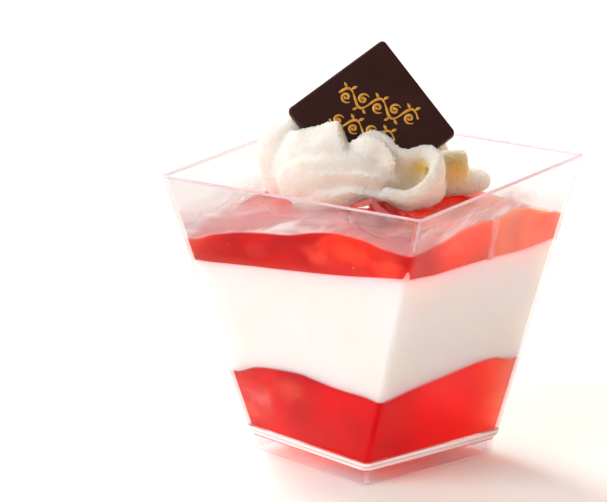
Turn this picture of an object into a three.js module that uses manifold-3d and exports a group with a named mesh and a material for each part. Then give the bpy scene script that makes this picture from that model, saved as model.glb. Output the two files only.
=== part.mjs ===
// A panna cotta served in a clear twisted square cup: red fruit jelly, set cream, red fruit jelly again with a
// piece of strawberry in its top, a piped rosette of whipped cream, and a thin square of dark chocolate stuck in it.
// Millimetres, +Z up. The origin is the centre of the foot, on the surface that the cup stands on, and the four
// sides of the rim lie along X and Y.

import * as THREE from 'three';
import { mergeVertices } from 'three/addons/utils/BufferGeometryUtils.js';
import Module from 'manifold-3d';

const wasm = await Module();
wasm.setup();

const degrees = THREE.MathUtils.degToRad;

// ---------- driving dimensions ----------

// The dessert is dressed to be looked at over one corner of the cup. Everything is drawn in that frame, in which
// x runs to the right and y to the back, and the whole is then turned until the rim lies along X and Y.
const DRESSED_TURN = degrees(33.6);

// Cup
const CUP_HEIGHT = 69.5;
const RIM_SIDE = 72;
const BASE_SIDE = 42.5;
const TWIST = degrees(15.3); // the rim is turned this far anticlockwise from the base
const WALL = 1.0;
const FLOOR = 1.0;
const FLOOR_UNDERSIDE = 4.7;
const FOOT_SIDE = 40.9;
const FOOT_TOP = 3.6;
const FOOT_WALL = 1.0;
const CORNER_RADIUS = 1.6;
const INNER_RADIUS = 1.1;

// Clearance between pieces that touch
const GAP = 0.3;

// Surfaces of the layers: mean height above the table, then slopes per millimetre, and what rises or sinks where.
// The four corners are the front, right, back and left one.
const LOWER_JELLY = { top: 23.9, slopeX: 0.02, slopeY: 0, cornerDrops: [1.6, 1.5, 1.2, 3.4], dropReach: 7 };
const SET_CREAM = { top: 50, slopeX: 0.015, slopeY: -0.07, frontClimb: 3.0, climbReach: 1.6 };
const UPPER_JELLY = { top: 59.4, slopeX: 0, slopeY: -0.05, cornerDrops: [1.9, 4.0, 2.0, 6.0], dropReach: 13 };
const UPPER_SWELLS = [
  { at: [-5, -34], reach: 8, height: 1.1 },
  { at: [-3, -14], reach: 8, height: 1.6 },
  { at: [24, -20], reach: 9, height: 0.8 },
  { at: [-18, -24], reach: 6, height: -0.8 },
  { at: [0, 6], reach: 14, height: -0.8 },
];
const UPPER_RIPPLE = { height: 0.25, along: [0.45, 0.2], across: [-0.1, 0.35] };

// Piece of strawberry lying in the top of the jelly
const BERRY = { x: -1.2, y: -16.5, z: 58.6, halfWidth: 6.2, halfLength: 8.6, halfHeight: 4.4, turn: degrees(24) };
const BERRY_CUTS = [
  { tilt: degrees(34), turn: degrees(62), from: 3.1 },
  { tilt: degrees(16), turn: degrees(-128), from: 3.9 },
];

// Chocolate square, standing on one corner and leaning back
const PLAQUE = { side: 28.3, thickness: 3.0, corner: 2.0, bevel: 0.5, x: -0.55, y: 6.3, z: 77.9 };
const PLAQUE_LEAN = degrees(27);
const PLAQUE_TURN = degrees(45 - 8);

// ---------- mesh resolution ----------

const SIDE_STEPS = 6;
const CORNER_STEPS = 4;
const COLUMNS = 4 * (SIDE_STEPS + CORNER_STEPS);
const WALL_LEVELS = 8;
const LAYER_LEVELS = 4;
const HIDDEN_RINGS = 4;
const SURFACE_RINGS = 9;
const BERRY_SEGMENTS = [20, 12];
const PLAQUE_CORNER_STEPS = 5;
const PLAQUE_BEVEL_STEPS = 2;
const ROPE_STEPS = 3;
const ROPE_SIDES = 12;
const SETTLE_PASSES = 6;
const WELD = 0.005;

// ---------- helpers: solids ----------

// Closes a row of rings, each a list of Vector3 of the same length, with a fan to a point at either end. Each
// four-sided face is split along its shorter diagonal, so that two skins over the same points split alike.
function loft(rings, startPoint, endPoint) {
  const count = rings[0].length;
  const points = rings.flat().concat([startPoint, endPoint]);
  const start = points.length - 2;
  const end = points.length - 1;
  const index = [];
  for (let row = 0; row < rings.length - 1; row += 1) {
    for (let i = 0; i < count; i += 1) {
      const next = (i + 1) % count;
      const a = row * count + i;
      const b = row * count + next;
      const c = b + count;
      const d = a + count;
      if (points[a].distanceTo(points[c]) < points[b].distanceTo(points[d])) {
        index.push(a, b, c, a, c, d);
      } else {
        index.push(a, b, d, b, c, d);
      }
    }
  }
  const last = (rings.length - 1) * count;
  for (let i = 0; i < count; i += 1) {
    const next = (i + 1) % count;
    index.push(start, next, i);
    index.push(end, last + i, last + next);
  }
  const geometry = new THREE.BufferGeometry();
  geometry.setAttribute('position', new THREE.Float32BufferAttribute(points.flatMap((p) => p.toArray()), 3));
  geometry.setIndex(index);
  return geometry;
}

function toSolid(geometry, weld = 1e-4) {
  const bare = geometry.clone();
  bare.deleteAttribute('normal');
  bare.deleteAttribute('uv');
  const merged = mergeVertices(bare, weld);
  return new wasm.Manifold(new wasm.Mesh({
    numProp: 3,
    vertProperties: new Float32Array(merged.attributes.position.array),
    triVerts: new Uint32Array(merged.index.array),
  }));
}

function toGeometry(solid) {
  const mesh = solid.getMesh();
  const geometry = new THREE.BufferGeometry();
  geometry.setAttribute('position', new THREE.BufferAttribute(new Float32Array(mesh.vertProperties), 3));
  geometry.setIndex(new THREE.BufferAttribute(new Uint32Array(mesh.triVerts), 1));
  return geometry;
}

// The largest shell of a solid: without the scraps that a cut may leave beside it, and with the hollows that
// joined pieces may seal inside it filled. Points closer than the weld are one point.
function outerShell(solid) {
  const shells = toSolid(toGeometry(solid), WELD).decompose();
  return toGeometry(shells.reduce((best, shell) => (shell.volume() > best.volume() ? shell : best)));
}

// ---------- helpers: the cup's twisted square section ----------

// Half side and turn of the square at height z, drawn in by an inset from the outer face. The corners run
// straight from the base to the rim, so the square between them is the mean of the two, turned with them.
function squareAt(z, inset) {
  const t = (z - FLOOR_UNDERSIDE) / (CUP_HEIGHT - FLOOR_UNDERSIDE);
  const base = (1 - t) * (BASE_SIDE / 2 - inset);
  const rim = t * (RIM_SIDE / 2 - inset);
  const x = base * Math.cos(TWIST) + rim;
  const y = -base * Math.sin(TWIST);
  return { half: Math.hypot(x, y), turn: Math.atan2(y, x) - DRESSED_TURN };
}

// One point of a round-cornered square. Columns count round it, the same for every size of square.
function squarePoint(column, square, radius) {
  const side = Math.floor(column / (SIDE_STEPS + CORNER_STEPS));
  const step = column % (SIDE_STEPS + CORNER_STEPS);
  const straight = square.half - radius;
  const heading = square.turn + side * Math.PI / 2;
  let out = square.half;
  let along = straight * (2 * step / SIDE_STEPS - 1);
  if (step > SIDE_STEPS) {
    const bend = (Math.PI / 2) * (step - SIDE_STEPS) / CORNER_STEPS;
    out = straight + radius * Math.cos(bend);
    along = straight + radius * Math.sin(bend);
  }
  return new THREE.Vector2(out, along).rotateAround(new THREE.Vector2(), heading);
}

function squareRing(square, radius, z) {
  const ring = [];
  for (let column = 0; column < COLUMNS; column += 1) {
    const p = squarePoint(column, square, radius);
    ring.push(new THREE.Vector3(p.x, p.y, z));
  }
  return ring;
}

// ---------- surfaces of the layers, as heights over (x, y) ----------

// A soft bump of the given height and reach round a point.
function bump(x, y, at, reach, height) {
  const square = ((x - at[0]) ** 2 + (y - at[1]) ** 2) / (reach * reach);
  return height * Math.exp(-square);
}

// Where the corners of the cup stand at height z: front, right, back and left.
function cornersAt(z) {
  const square = squareAt(z, WALL + GAP);
  return [0, 1, 2, 3].map((k) => {
    const angle = square.turn + (k - 0.5) * Math.PI / 2;
    return [square.half * Math.SQRT2 * Math.cos(angle), square.half * Math.SQRT2 * Math.sin(angle)];
  });
}

const LOWER_CORNERS = cornersAt(LOWER_JELLY.top);
const MIDDLE_CORNERS = cornersAt(SET_CREAM.top);
const UPPER_CORNERS = cornersAt(UPPER_JELLY.top);

function sloped(layer, x, y) {
  return layer.top + layer.slopeX * x + layer.slopeY * y;
}

function sunkCorners(layer, corners, x, y) {
  return corners.reduce((sum, corner, k) => sum - bump(x, y, corner, layer.dropReach, layer.cornerDrops[k]), 0);
}

// The lower jelly set in a soft wave: high at the middle of each wall and lower in the corners.
function lowerJellyTop(x, y) {
  return sloped(LOWER_JELLY, x, y) + sunkCorners(LOWER_JELLY, LOWER_CORNERS, x, y);
}

// The set cream slopes up to the front and climbs a little in the front corner.
function setCreamTop(x, y) {
  return sloped(SET_CREAM, x, y) + bump(x, y, MIDDLE_CORNERS[0], SET_CREAM.climbReach, SET_CREAM.frontClimb);
}

// The upper jelly was spooned on: it sinks in the corners and swells over the fruit at the front.
function upperJellyTop(x, y) {
  const wave = Math.sin(UPPER_RIPPLE.along[0] * x + UPPER_RIPPLE.along[1] * y);
  const crossWave = Math.cos(UPPER_RIPPLE.across[0] * x + UPPER_RIPPLE.across[1] * y);
  const swells = UPPER_SWELLS.reduce((sum, { at, reach, height }) => sum + bump(x, y, at, reach, height), 0);
  const sunk = sunkCorners(UPPER_JELLY, UPPER_CORNERS, x, y);
  return sloped(UPPER_JELLY, x, y) + sunk + swells + UPPER_RIPPLE.height * wave * crossWave;
}

// ---------- pieces ----------

function buildCup() {
  const foot = { half: FOOT_SIDE / 2, turn: squareAt(FLOOR_UNDERSIDE, 0).turn };
  const hollow = { half: FOOT_SIDE / 2 - FOOT_WALL, turn: foot.turn };
  const rings = [
    squareRing(hollow, INNER_RADIUS, FLOOR_UNDERSIDE),
    squareRing(hollow, INNER_RADIUS, 0),
    squareRing(foot, CORNER_RADIUS, 0),
    squareRing(foot, CORNER_RADIUS, FOOT_TOP),
  ];
  for (let level = 0; level <= WALL_LEVELS; level += 1) {
    const z = THREE.MathUtils.lerp(FLOOR_UNDERSIDE, CUP_HEIGHT, level / WALL_LEVELS);
    rings.push(squareRing(squareAt(z, 0), CORNER_RADIUS, z));
  }
  for (let level = 0; level <= WALL_LEVELS; level += 1) {
    const z = THREE.MathUtils.lerp(CUP_HEIGHT, FLOOR_UNDERSIDE + FLOOR, level / WALL_LEVELS);
    rings.push(squareRing(squareAt(z, WALL), INNER_RADIUS, z));
  }
  const underside = new THREE.Vector3(0, 0, FLOOR_UNDERSIDE);
  const floorTop = new THREE.Vector3(0, 0, FLOOR_UNDERSIDE + FLOOR);
  return loft(rings, underside, floorTop);
}

// The point of a layer's surface that lies the given share of the way from the centre line to the wall.
function onSurface(surface, column, share) {
  let z = surface(0, 0);
  let p = new THREE.Vector2();
  for (let pass = 0; pass < SETTLE_PASSES; pass += 1) {
    p = squarePoint(column, squareAt(z, WALL + GAP), INNER_RADIUS).multiplyScalar(share);
    z = surface(p.x, p.y);
  }
  return new THREE.Vector3(p.x, p.y, z);
}

function surfaceRing(surface, share, raise = 0) {
  const ring = [];
  for (let column = 0; column < COLUMNS; column += 1) {
    const p = onSurface(surface, column, share);
    ring.push(p.setZ(p.z + raise));
  }
  return ring;
}

// A layer that fills the cup from wall to wall. It starts a gap above the surface below it, on the same points as
// that surface, so that the two never touch between their points.
function buildLayer(lower, lowerRings, upper, upperRings) {
  const rings = [];
  for (let k = 1; k <= lowerRings; k += 1) {
    rings.push(surfaceRing(lower, k / lowerRings, GAP));
  }
  const bottomEdge = rings[rings.length - 1];
  const topEdge = surfaceRing(upper, 1);
  for (let level = 1; level < LAYER_LEVELS; level += 1) {
    rings.push(bottomEdge.map((p, column) => {
      const z = THREE.MathUtils.lerp(p.z, topEdge[column].z, level / LAYER_LEVELS);
      const edge = squarePoint(column, squareAt(z, WALL + GAP), INNER_RADIUS);
      return new THREE.Vector3(edge.x, edge.y, z);
    }));
  }
  for (let k = upperRings; k >= 1; k -= 1) {
    rings.push(surfaceRing(upper, k / upperRings));
  }
  const foot = new THREE.Vector3(0, 0, lower(0, 0) + GAP);
  const crown = new THREE.Vector3(0, 0, upper(0, 0));
  return loft(rings, foot, crown);
}

// Everything under the upper jelly's surface, raised by the gap: what the cream must keep clear of.
function buildJellyKeepOut() {
  const raised = (x, y) => upperJellyTop(x, y) + GAP;
  return toSolid(buildLayer(lowerJellyTop, 1, raised, SURFACE_RINGS));
}

// A piece cut from a strawberry: a rounded body with two knife cuts, grown by an allowance on all sides.
function buildBerry(allowance) {
  const body = new THREE.SphereGeometry(1, ...BERRY_SEGMENTS);
  body.scale(BERRY.halfWidth + allowance, BERRY.halfLength + allowance, BERRY.halfHeight + allowance);
  let solid = toSolid(body);
  const reach = 4 * BERRY.halfLength;
  const knife = new THREE.BoxGeometry(reach, reach, reach);
  BERRY_CUTS.forEach((cut) => {
    const placed = knife.clone().translate(0, 0, reach / 2 + cut.from + allowance);
    placed.applyMatrix4(new THREE.Matrix4().makeRotationX(cut.tilt));
    placed.applyMatrix4(new THREE.Matrix4().makeRotationZ(cut.turn));
    solid = solid.subtract(toSolid(placed));
  });
  const geometry = toGeometry(solid);
  geometry.rotateZ(BERRY.turn);
  return geometry.translate(BERRY.x, BERRY.y, BERRY.z);
}

// A thin square with rounded corners and softened edges, grown by an allowance on all sides.
function buildPlaque(allowance) {
  const half = PLAQUE.side / 2 + allowance - PLAQUE.bevel;
  const radius = PLAQUE.corner;
  const outline = new THREE.Shape();
  outline.moveTo(half - radius, -half);
  outline.absarc(half - radius, -half + radius, radius, -Math.PI / 2, 0);
  outline.absarc(half - radius, half - radius, radius, 0, Math.PI / 2);
  outline.absarc(-half + radius, half - radius, radius, Math.PI / 2, Math.PI);
  outline.absarc(-half + radius, -half + radius, radius, Math.PI, 1.5 * Math.PI);
  const depth = PLAQUE.thickness + 2 * allowance - 2 * PLAQUE.bevel;
  const geometry = new THREE.ExtrudeGeometry(outline, {
    depth,
    curveSegments: PLAQUE_CORNER_STEPS,
    bevelEnabled: true,
    bevelThickness: PLAQUE.bevel,
    bevelSize: PLAQUE.bevel,
    bevelSegments: PLAQUE_BEVEL_STEPS,
  });
  return geometry.translate(0, 0, -depth / 2);
}

function placePlaque(object) {
  object.rotation.set(Math.PI / 2 - PLAQUE_LEAN, 0, 0);
  object.rotateZ(PLAQUE_TURN);
  object.position.set(PLAQUE.x, PLAQUE.y, PLAQUE.z);
  object.updateMatrix();
  return object;
}

// ---------- whipped cream ----------

// The rosette is made of ropes of cream. The stations of a rope give its middle (x, y, z), half its thickness, half
// its height, and its roll in degrees. A crest of 1 draws its top to a ridge. The two blunt values say how gently
// its ends close, from 0, cut square, upwards.
const FOLDS = [
  // the mass under the folds
  {
    stations: [[-17.5, 9, 62, 7, 6.5, 0], [-8, 8, 63, 14, 9, 0], [6, 8, 63, 14, 9, 0], [17, 10, 61.5, 10, 7, 0]],
    crest: 0, blunt: [1.2, 1.2],
  },
  // the lobe at the left, behind the chocolate
  {
    stations: [
      [-18, 7, 60, 6, 6.5, 0], [-19.4, 8.5, 66, 6.3, 6.5, 0], [-20.2, 9.5, 71.2, 5.8, 6, 0],
      [-14, 11, 73.4, 5, 6, 0],
    ],
    crest: 0, blunt: [0.8, 0.8],
  },
  // the great lobe at the left, in front of the chocolate, cut off where the nozzle turned
  {
    stations: [
      [-22.5, 6.5, 65, 4, 4.5, 0], [-18, 3, 68.4, 5, 8, 8], [-12.5, 1.6, 70.3, 5.5, 8.6, 8],
      [-7.2, 0.7, 71.6, 5, 8.9, 5],
    ],
    crest: 0.9, blunt: [1, 0.1],
  },
  // the slope below it
  {
    stations: [
      [-21.5, 4, 64.2, 4.6, 5.6, 0], [-15, -0.5, 66.8, 5, 6, 0], [-6, -2, 68.2, 5, 5.6, 0],
      [0, -3, 66.4, 4.6, 4.6, 0], [5, -3.6, 65, 3.6, 3.6, 0],
    ],
    crest: 0, blunt: [1, 1],
  },
  // the two ruffles of the skirt
  {
    stations: [
      [-21, 1.5, 62.5, 4, 3, 0], [-14, -3, 65, 4.4, 3.2, -15], [-6, -5, 66.2, 4.4, 3.2, -15],
      [0, -6.2, 65.4, 4, 3, -15], [3, -6.8, 64.4, 3.2, 2.4, 0],
    ],
    crest: 0.8, blunt: [1, 1],
  },
  {
    stations: [
      [-19, -0.5, 61, 3, 2, 0], [-11, -5, 63.4, 3.4, 2.2, -20], [-4.5, -7, 64.6, 3.4, 2.2, -20],
      [0.5, -8, 63.6, 3.2, 2.2, -20], [5, -8, 61.8, 2.5, 2, 0],
    ],
    crest: 0.8, blunt: [1, 1],
  },
  // the middle lobe, which runs down to a tip, and the slope under it
  {
    stations: [
      [-7, 0, 66, 4.5, 4.5, 0], [-3.6, -0.6, 71.3, 3.9, 4.8, 0], [-1.4, -0.8, 73, 3.4, 4.4, 0],
      [0.8, -1.2, 72.2, 3, 3.6, 0], [2.7, -2, 71, 2.4, 2.9, 0], [4.3, -3.8, 69.6, 1.5, 1.8, 0],
      [5.2, -5.2, 68.6, 0.7, 0.9, 0],
    ],
    crest: 0.75, blunt: [1, 0.6],
  },
  {
    stations: [[-5, -1, 66, 4, 5, 0], [0, -3, 67, 4.4, 4.2, 0], [3.6, -4.4, 65.4, 3.2, 3.2, 0]],
    crest: 0, blunt: [1, 1],
  },
  // what stands behind and under the lip at the right
  {
    stations: [
      [-4, 2.4, 68, 4, 7.4, 0], [1, 2.2, 68.6, 3.6, 6.8, 0], [6, 1.6, 66.5, 4, 5.4, 0],
      [11, 3, 65.8, 5, 6, 0], [14, 3, 65.8, 4.4, 6, 0],
    ],
    crest: 0, blunt: [1, 1],
  },
  {
    stations: [[15, 3, 63, 5, 5, 0], [14, -2, 62, 4.5, 4, 0], [9, -5, 61, 4, 3, 0], [3, -5.5, 61.5, 4, 3, 0]],
    crest: 0, blunt: [1, 1],
  },
  // the lobes at the right, and the ruffle at their foot
  {
    stations: [[13, 7, 63, 6, 6, 0], [18.5, 7, 64.5, 5.5, 6.6, 0], [21.4, 9, 64.5, 4, 6.2, 0]],
    crest: 0.2, blunt: [1, 0.4],
  },
  {
    stations: [[14, 11, 63, 6, 7, 0], [19.5, 13, 64.8, 4.5, 6.6, 0], [22, 11.5, 64, 3.6, 5.5, 0]],
    crest: 0.8, blunt: [1, 0.6],
  },
  {
    stations: [
      [15, 0.5, 61, 4, 3, 0], [20.5, 3, 61.8, 4, 3, 0], [23.3, 8, 62, 4, 3.2, 0],
      [22.5, 14, 62, 4, 3.2, 0], [17, 19, 62, 4, 3, 0],
    ],
    crest: 0.7, blunt: [1, 1],
  },
  // the three lobes along the back, and the ruffle at their foot
  {
    stations: [
      [-21, 10, 63, 4.5, 6, 0], [-20, 15.5, 66, 4.6, 7.4, 0], [-14, 19.5, 68, 4.8, 8.4, 8],
      [-7.5, 20.2, 69.2, 4.6, 8.6, 8],
    ],
    crest: 0.9, blunt: [1, 0.12],
  },
  {
    stations: [
      [-10, 16, 67, 4.5, 6, 0], [-4.5, 19.2, 68.4, 4.6, 7.4, 6], [1.5, 20, 69.4, 4.4, 7.2, 6],
      [5, 19.6, 67.5, 3.6, 5.6, 0],
    ],
    crest: 0.9, blunt: [1, 0.3],
  },
  {
    stations: [
      [1, 16, 66, 4.5, 6, 0], [7, 18.6, 67.2, 4.6, 7.2, 6], [13, 17.6, 68, 4.4, 7.2, 6],
      [18, 14.2, 66.4, 3.8, 6, 0],
    ],
    crest: 0.9, blunt: [1, 0.3],
  },
  {
    stations: [
      [-21, 14, 62, 4, 3, 0], [-15, 20.6, 63, 4, 3, 12], [-5, 23.2, 63.6, 4.2, 3.2, 15],
      [5, 23.6, 63.4, 4.2, 3.2, 15], [14, 20.8, 62.8, 4, 3, 12], [19, 16, 62, 3.5, 3, 0],
    ],
    crest: 0.8, blunt: [1, 1],
  },
];

// The hollow that the curling cream leaves open, from the middle lobe down into the bowl at the right
const SCOOPS = [
  {
    stations: [
      [-1, 0.9, 79.2, 0.8, 1.6, 0], [1.4, 0.3, 76.4, 1.2, 2.2, 0], [3.6, -0.9, 73.8, 1.6, 2.6, 0],
      [6.6, -3.4, 70.6, 2.6, 3, 0], [9.6, -3.6, 68.2, 3.9, 4.2, 0], [9.4, -4.6, 66.8, 4.2, 4, 0],
      [6.4, -6.6, 65.8, 3, 2.7, 0], [2.2, -8.4, 65.8, 1.8, 1.6, 0], [-2, -10, 66.6, 0.9, 0.9, 0],
    ],
    crest: 0, blunt: [0.6, 0.6],
  },
];

// The thin lip that curls round the hollow
const LIPS = [
  {
    stations: [
      [-3.2, 1.8, 74.2, 1.2, 1.8, 0], [-1, 2.1, 75.8, 1.1, 1.9, 0], [1.2, 1.9, 75.8, 1.1, 1.9, 0],
      [3.2, 1.2, 74.2, 1.1, 1.8, 0], [5, 0.2, 72.4, 1.2, 1.7, 0], [8, 0.2, 71.2, 1.3, 1.8, 0],
      [11, 1, 71.2, 1.5, 2.2, 0], [13.2, 0.8, 71.6, 1.6, 2.6, 0], [14.9, -0.6, 69.8, 1.7, 2.8, 0],
      [15, -2.8, 66.8, 1.7, 2.8, 0], [13.1, -5, 64.4, 1.7, 2.6, 0], [10.2, -6.9, 62.8, 1.7, 2.3, 0],
      [7.2, -7.8, 62.3, 1.7, 2.1, 0], [4.2, -7.8, 63.1, 1.6, 1.9, 0], [1.6, -7.4, 64.2, 1.4, 1.6, 0],
    ],
    crest: 0.3, blunt: [1, 1],
  },
];

// The length over which a rope closes, as a share of its half size, how deep a full crest cuts its shoulders, and
// the size of the ring that a closed end shrinks to.
const CLOSING = 0.8;
const CREST_DEPTH = 0.85;
const CLOSED = 0.02;

// Values between four stations, on a smooth curve through the middle two.
function between(before, a, b, after, t) {
  return a.map((value, k) => 0.5 * (
    2 * value
    + (b[k] - before[k]) * t
    + (2 * before[k] - 5 * value + 4 * b[k] - after[k]) * t ** 2
    + (3 * value - before[k] - 3 * b[k] + after[k]) * t ** 3
  ));
}

function smoothStations(stations) {
  const rows = [];
  for (let i = 0; i < stations.length - 1; i += 1) {
    const before = stations[Math.max(i - 1, 0)];
    const after = stations[Math.min(i + 2, stations.length - 1)];
    for (let step = 0; step < ROPE_STEPS; step += 1) {
      rows.push(between(before, stations[i], stations[i + 1], after, step / ROPE_STEPS));
    }
  }
  rows.push(stations[stations.length - 1]);
  return rows;
}

// How far a rope is open at a distance from its end: nothing at the end, all after the closing length.
function openness(distance, closing) {
  const near = Math.max(0, 1 - distance / closing);
  return Math.sqrt(1 - near * near);
}

function buildRope({ stations, crest, blunt }) {
  const rows = smoothStations(stations);
  const middles = rows.map((row) => new THREE.Vector3(row[0], row[1], row[2]));
  const lengths = [0];
  for (let i = 1; i < middles.length; i += 1) {
    lengths.push(lengths[i - 1] + middles[i].distanceTo(middles[i - 1]));
  }
  const total = lengths[lengths.length - 1];
  const rings = rows.map(([, , , halfThick, halfHigh, roll], i) => {
    const before = middles[Math.max(i - 1, 0)];
    const after = middles[Math.min(i + 1, middles.length - 1)];
    const ahead = after.clone().sub(before).normalize();
    const side = ahead.clone().cross(new THREE.Vector3(0, 0, 1)).normalize();
    const up = side.clone().cross(ahead).normalize();
    const size = CLOSING * Math.max(halfThick, halfHigh);
    const open = openness(lengths[i], blunt[0] * size) * openness(total - lengths[i], blunt[1] * size);
    const scale = Math.max(open, CLOSED);
    const ring = [];
    for (let k = 0; k < ROPE_SIDES; k += 1) {
      const angle = 2 * Math.PI * k / ROPE_SIDES;
      const ridge = 1 - CREST_DEPTH * crest * Math.max(0, Math.sin(angle)) ** 2;
      const section = new THREE.Vector2(halfThick * Math.cos(angle) * ridge, halfHigh * Math.sin(angle));
      section.rotateAround(new THREE.Vector2(), degrees(roll)).multiplyScalar(scale);
      ring.push(middles[i].clone().addScaledVector(side, section.x).addScaledVector(up, section.y));
    }
    return ring.reverse();
  });
  return toSolid(loft(rings, middles[0], middles[middles.length - 1]));
}

function joinRopes(ropes) {
  return ropes.map(buildRope).reduce((whole, rope) => whole.add(rope));
}

function buildCream() {
  const slot = buildPlaque(GAP).applyMatrix4(placePlaque(new THREE.Object3D()).matrix);
  const piped = joinRopes(FOLDS).subtract(joinRopes(SCOOPS)).add(joinRopes(LIPS));
  const dressed = piped.subtract(toSolid(slot)).subtract(toSolid(buildBerry(GAP)));
  return outerShell(dressed.subtract(buildJellyKeepOut()));
}

function buildUpperJelly() {
  const jelly = toSolid(buildLayer(setCreamTop, HIDDEN_RINGS, upperJellyTop, SURFACE_RINGS));
  return outerShell(jelly.subtract(toSolid(buildBerry(GAP))));
}

// ---------- materials ----------

function finish(color, roughness, extra = {}) {
  return new THREE.MeshStandardMaterial({ color, roughness, metalness: 0, ...extra });
}

const clearPlastic = finish('#eef2f4', 0.06, { transparent: true, opacity: 0.25 });
const lowerJelly = finish('#e01a26', 0.12);
const setCream = finish('#f8f4ec', 0.35);
const upperJelly = finish('#dc4238', 0.12);
const berry = finish('#c40c0c', 0.1);
const whippedCream = finish('#fbf4e6', 0.6);
const darkChocolate = finish('#3b1f1e', 0.35);

// ---------- the dessert ----------

const dessert = new THREE.Group();
const dressed = new THREE.Group();
dressed.rotation.z = DRESSED_TURN;
dessert.add(dressed);

function addPiece(name, geometry, material) {
  const mesh = new THREE.Mesh(geometry, material);
  mesh.name = name;
  dressed.add(mesh);
  return mesh;
}

const floorTop = () => FLOOR_UNDERSIDE + FLOOR;

addPiece('cup', buildCup(), clearPlastic);
addPiece('jelly_lower', buildLayer(floorTop, 1, lowerJellyTop, HIDDEN_RINGS), lowerJelly);
addPiece('panna_cotta', buildLayer(lowerJellyTop, HIDDEN_RINGS, setCreamTop, HIDDEN_RINGS), setCream);
addPiece('jelly_upper', buildUpperJelly(), upperJelly);
addPiece('strawberry_piece', buildBerry(0), berry);
addPiece('whipped_cream', buildCream(), whippedCream);
placePlaque(addPiece('chocolate_square', buildPlaque(0), darkChocolate));

export default dessert;
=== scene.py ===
# %% [markdown]
# # A layered panna cotta in a clear cup
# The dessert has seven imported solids: the cup, two layers of red jelly, the set cream between them, a piece of
# strawberry, a rosette of whipped cream and a square of dark chocolate. They say where everything is and how large.
# This script gives each of them the fine form and the finish of the real thing.

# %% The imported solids
import math

import bmesh
import bpy
import numpy as np
from mathutils import Matrix, Vector, noise


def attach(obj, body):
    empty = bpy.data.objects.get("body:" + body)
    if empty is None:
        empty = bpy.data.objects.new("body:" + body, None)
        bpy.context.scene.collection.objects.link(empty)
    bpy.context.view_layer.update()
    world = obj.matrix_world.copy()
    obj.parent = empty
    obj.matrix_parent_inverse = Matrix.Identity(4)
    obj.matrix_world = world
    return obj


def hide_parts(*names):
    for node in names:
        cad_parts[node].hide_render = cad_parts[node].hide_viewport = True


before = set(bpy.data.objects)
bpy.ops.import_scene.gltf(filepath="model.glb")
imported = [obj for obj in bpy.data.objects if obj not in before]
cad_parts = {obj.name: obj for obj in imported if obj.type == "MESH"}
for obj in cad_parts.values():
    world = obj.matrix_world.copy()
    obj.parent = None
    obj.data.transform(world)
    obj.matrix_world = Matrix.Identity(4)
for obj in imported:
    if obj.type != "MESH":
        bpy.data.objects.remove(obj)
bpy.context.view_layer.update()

print("solids:", sorted(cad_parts))

# %% [markdown]
# Measures are in millimetres, in the frame in which the dessert is dressed: x to the right, y to the back, z up, seen
# over the front corner of the cup. One matrix turns that frame until the rim lies along X and Y and makes it metres.

# %% Units and the dressed frame
MM = 0.001
DRESSED_TURN = math.radians(33.6)
TO_ROW = Matrix.Rotation(DRESSED_TURN, 4, "Z") @ Matrix.Scale(MM, 4)


def hex_colour(text, alpha=1.0):
    """sRGB hex to the linear colour that shaders work in."""
    parts = [int(text[i:i + 2], 16) / 255 for i in (1, 3, 5)]
    return tuple(c / 12.92 if c <= 0.04045 else ((c + 0.055) / 1.055) ** 2.4 for c in parts) + (alpha,)


def heading(azimuth, elevation=0.0):
    """A direction of the dressed frame, in the frame of the scene: 0 is to the right, 90 to the back."""
    turn, lift = math.radians(azimuth) + DRESSED_TURN, math.radians(elevation)
    return Vector((math.cos(turn) * math.cos(lift), math.sin(turn) * math.cos(lift), math.sin(lift)))


print("panna cotta white in linear:", [round(c, 3) for c in hex_colour("#f8f4ec")])

# %% [markdown]
# Every material is a small graph of nodes. One helper adds a node, sets it up and links it, so that each material
# below reads as a list of what it is made of. Sockets go by their names, or by their numbers where a name comes more
# than once: on a Map Range node 0 is the value and 1 to 4 are the ends of the two ranges, and on a Mix node of
# colours 0 is the share, 6 and 7 are the colours, and the result is output 2. Food drifts between two tones almost
# everywhere, so a second helper makes such clouds out of a noise and a colour ramp.

# %% Helpers for materials
SMOOTH = {"interpolation_type": "SMOOTHSTEP"}


def add(tree, kind, values=None, links=None, **settings):
    """Adds a node: settings are its options, values its unlinked sockets, links its sockets' sources."""
    made = tree.nodes.new(kind)
    for name, value in settings.items():
        setattr(made, name, value)
    for socket, value in (values or {}).items():
        made.inputs[socket].default_value = value
    for socket, source in (links or {}).items():
        tree.links.new(source, made.inputs[socket])
    return made


def start_material(name):
    """A material, its empty graph, and the socket that says where in the object a point lies, in metres."""
    material = bpy.data.materials.new(name)
    material.use_nodes = True
    material.node_tree.nodes.clear()
    return material, material.node_tree, add(material.node_tree, "ShaderNodeTexCoord").outputs["Object"]


def finish_material(material, surface, volume=None):
    shaders = {"Surface": surface, "Volume": volume}
    add(material.node_tree, "ShaderNodeOutputMaterial",
        links={socket: shader.outputs[0] for socket, shader in shaders.items() if shader})
    print(f"{material.name}: {len(material.node_tree.nodes)} nodes")
    return material


def clouded(tree, place, scale, detail, tones):
    """Two tones that drift into each other, each with the height of the noise at which it is reached."""
    cloud = add(tree, "ShaderNodeTexNoise", {"Scale": scale, "Detail": detail}, {"Vector": place})
    tint = add(tree, "ShaderNodeValToRGB", links={"Fac": cloud.outputs["Fac"]})
    for stop, (height, colour) in zip(tint.color_ramp.elements, tones):
        stop.position, stop.color = height, hex_colour(colour)
    return tint.outputs["Color"]

# %% [markdown]
# Meshes are made from points in the dressed frame. Normals are made to face out, faces are smooth, and edges sharper
# than an angle stay crisp, as they are on moulded plastic or cut fruit.

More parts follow.
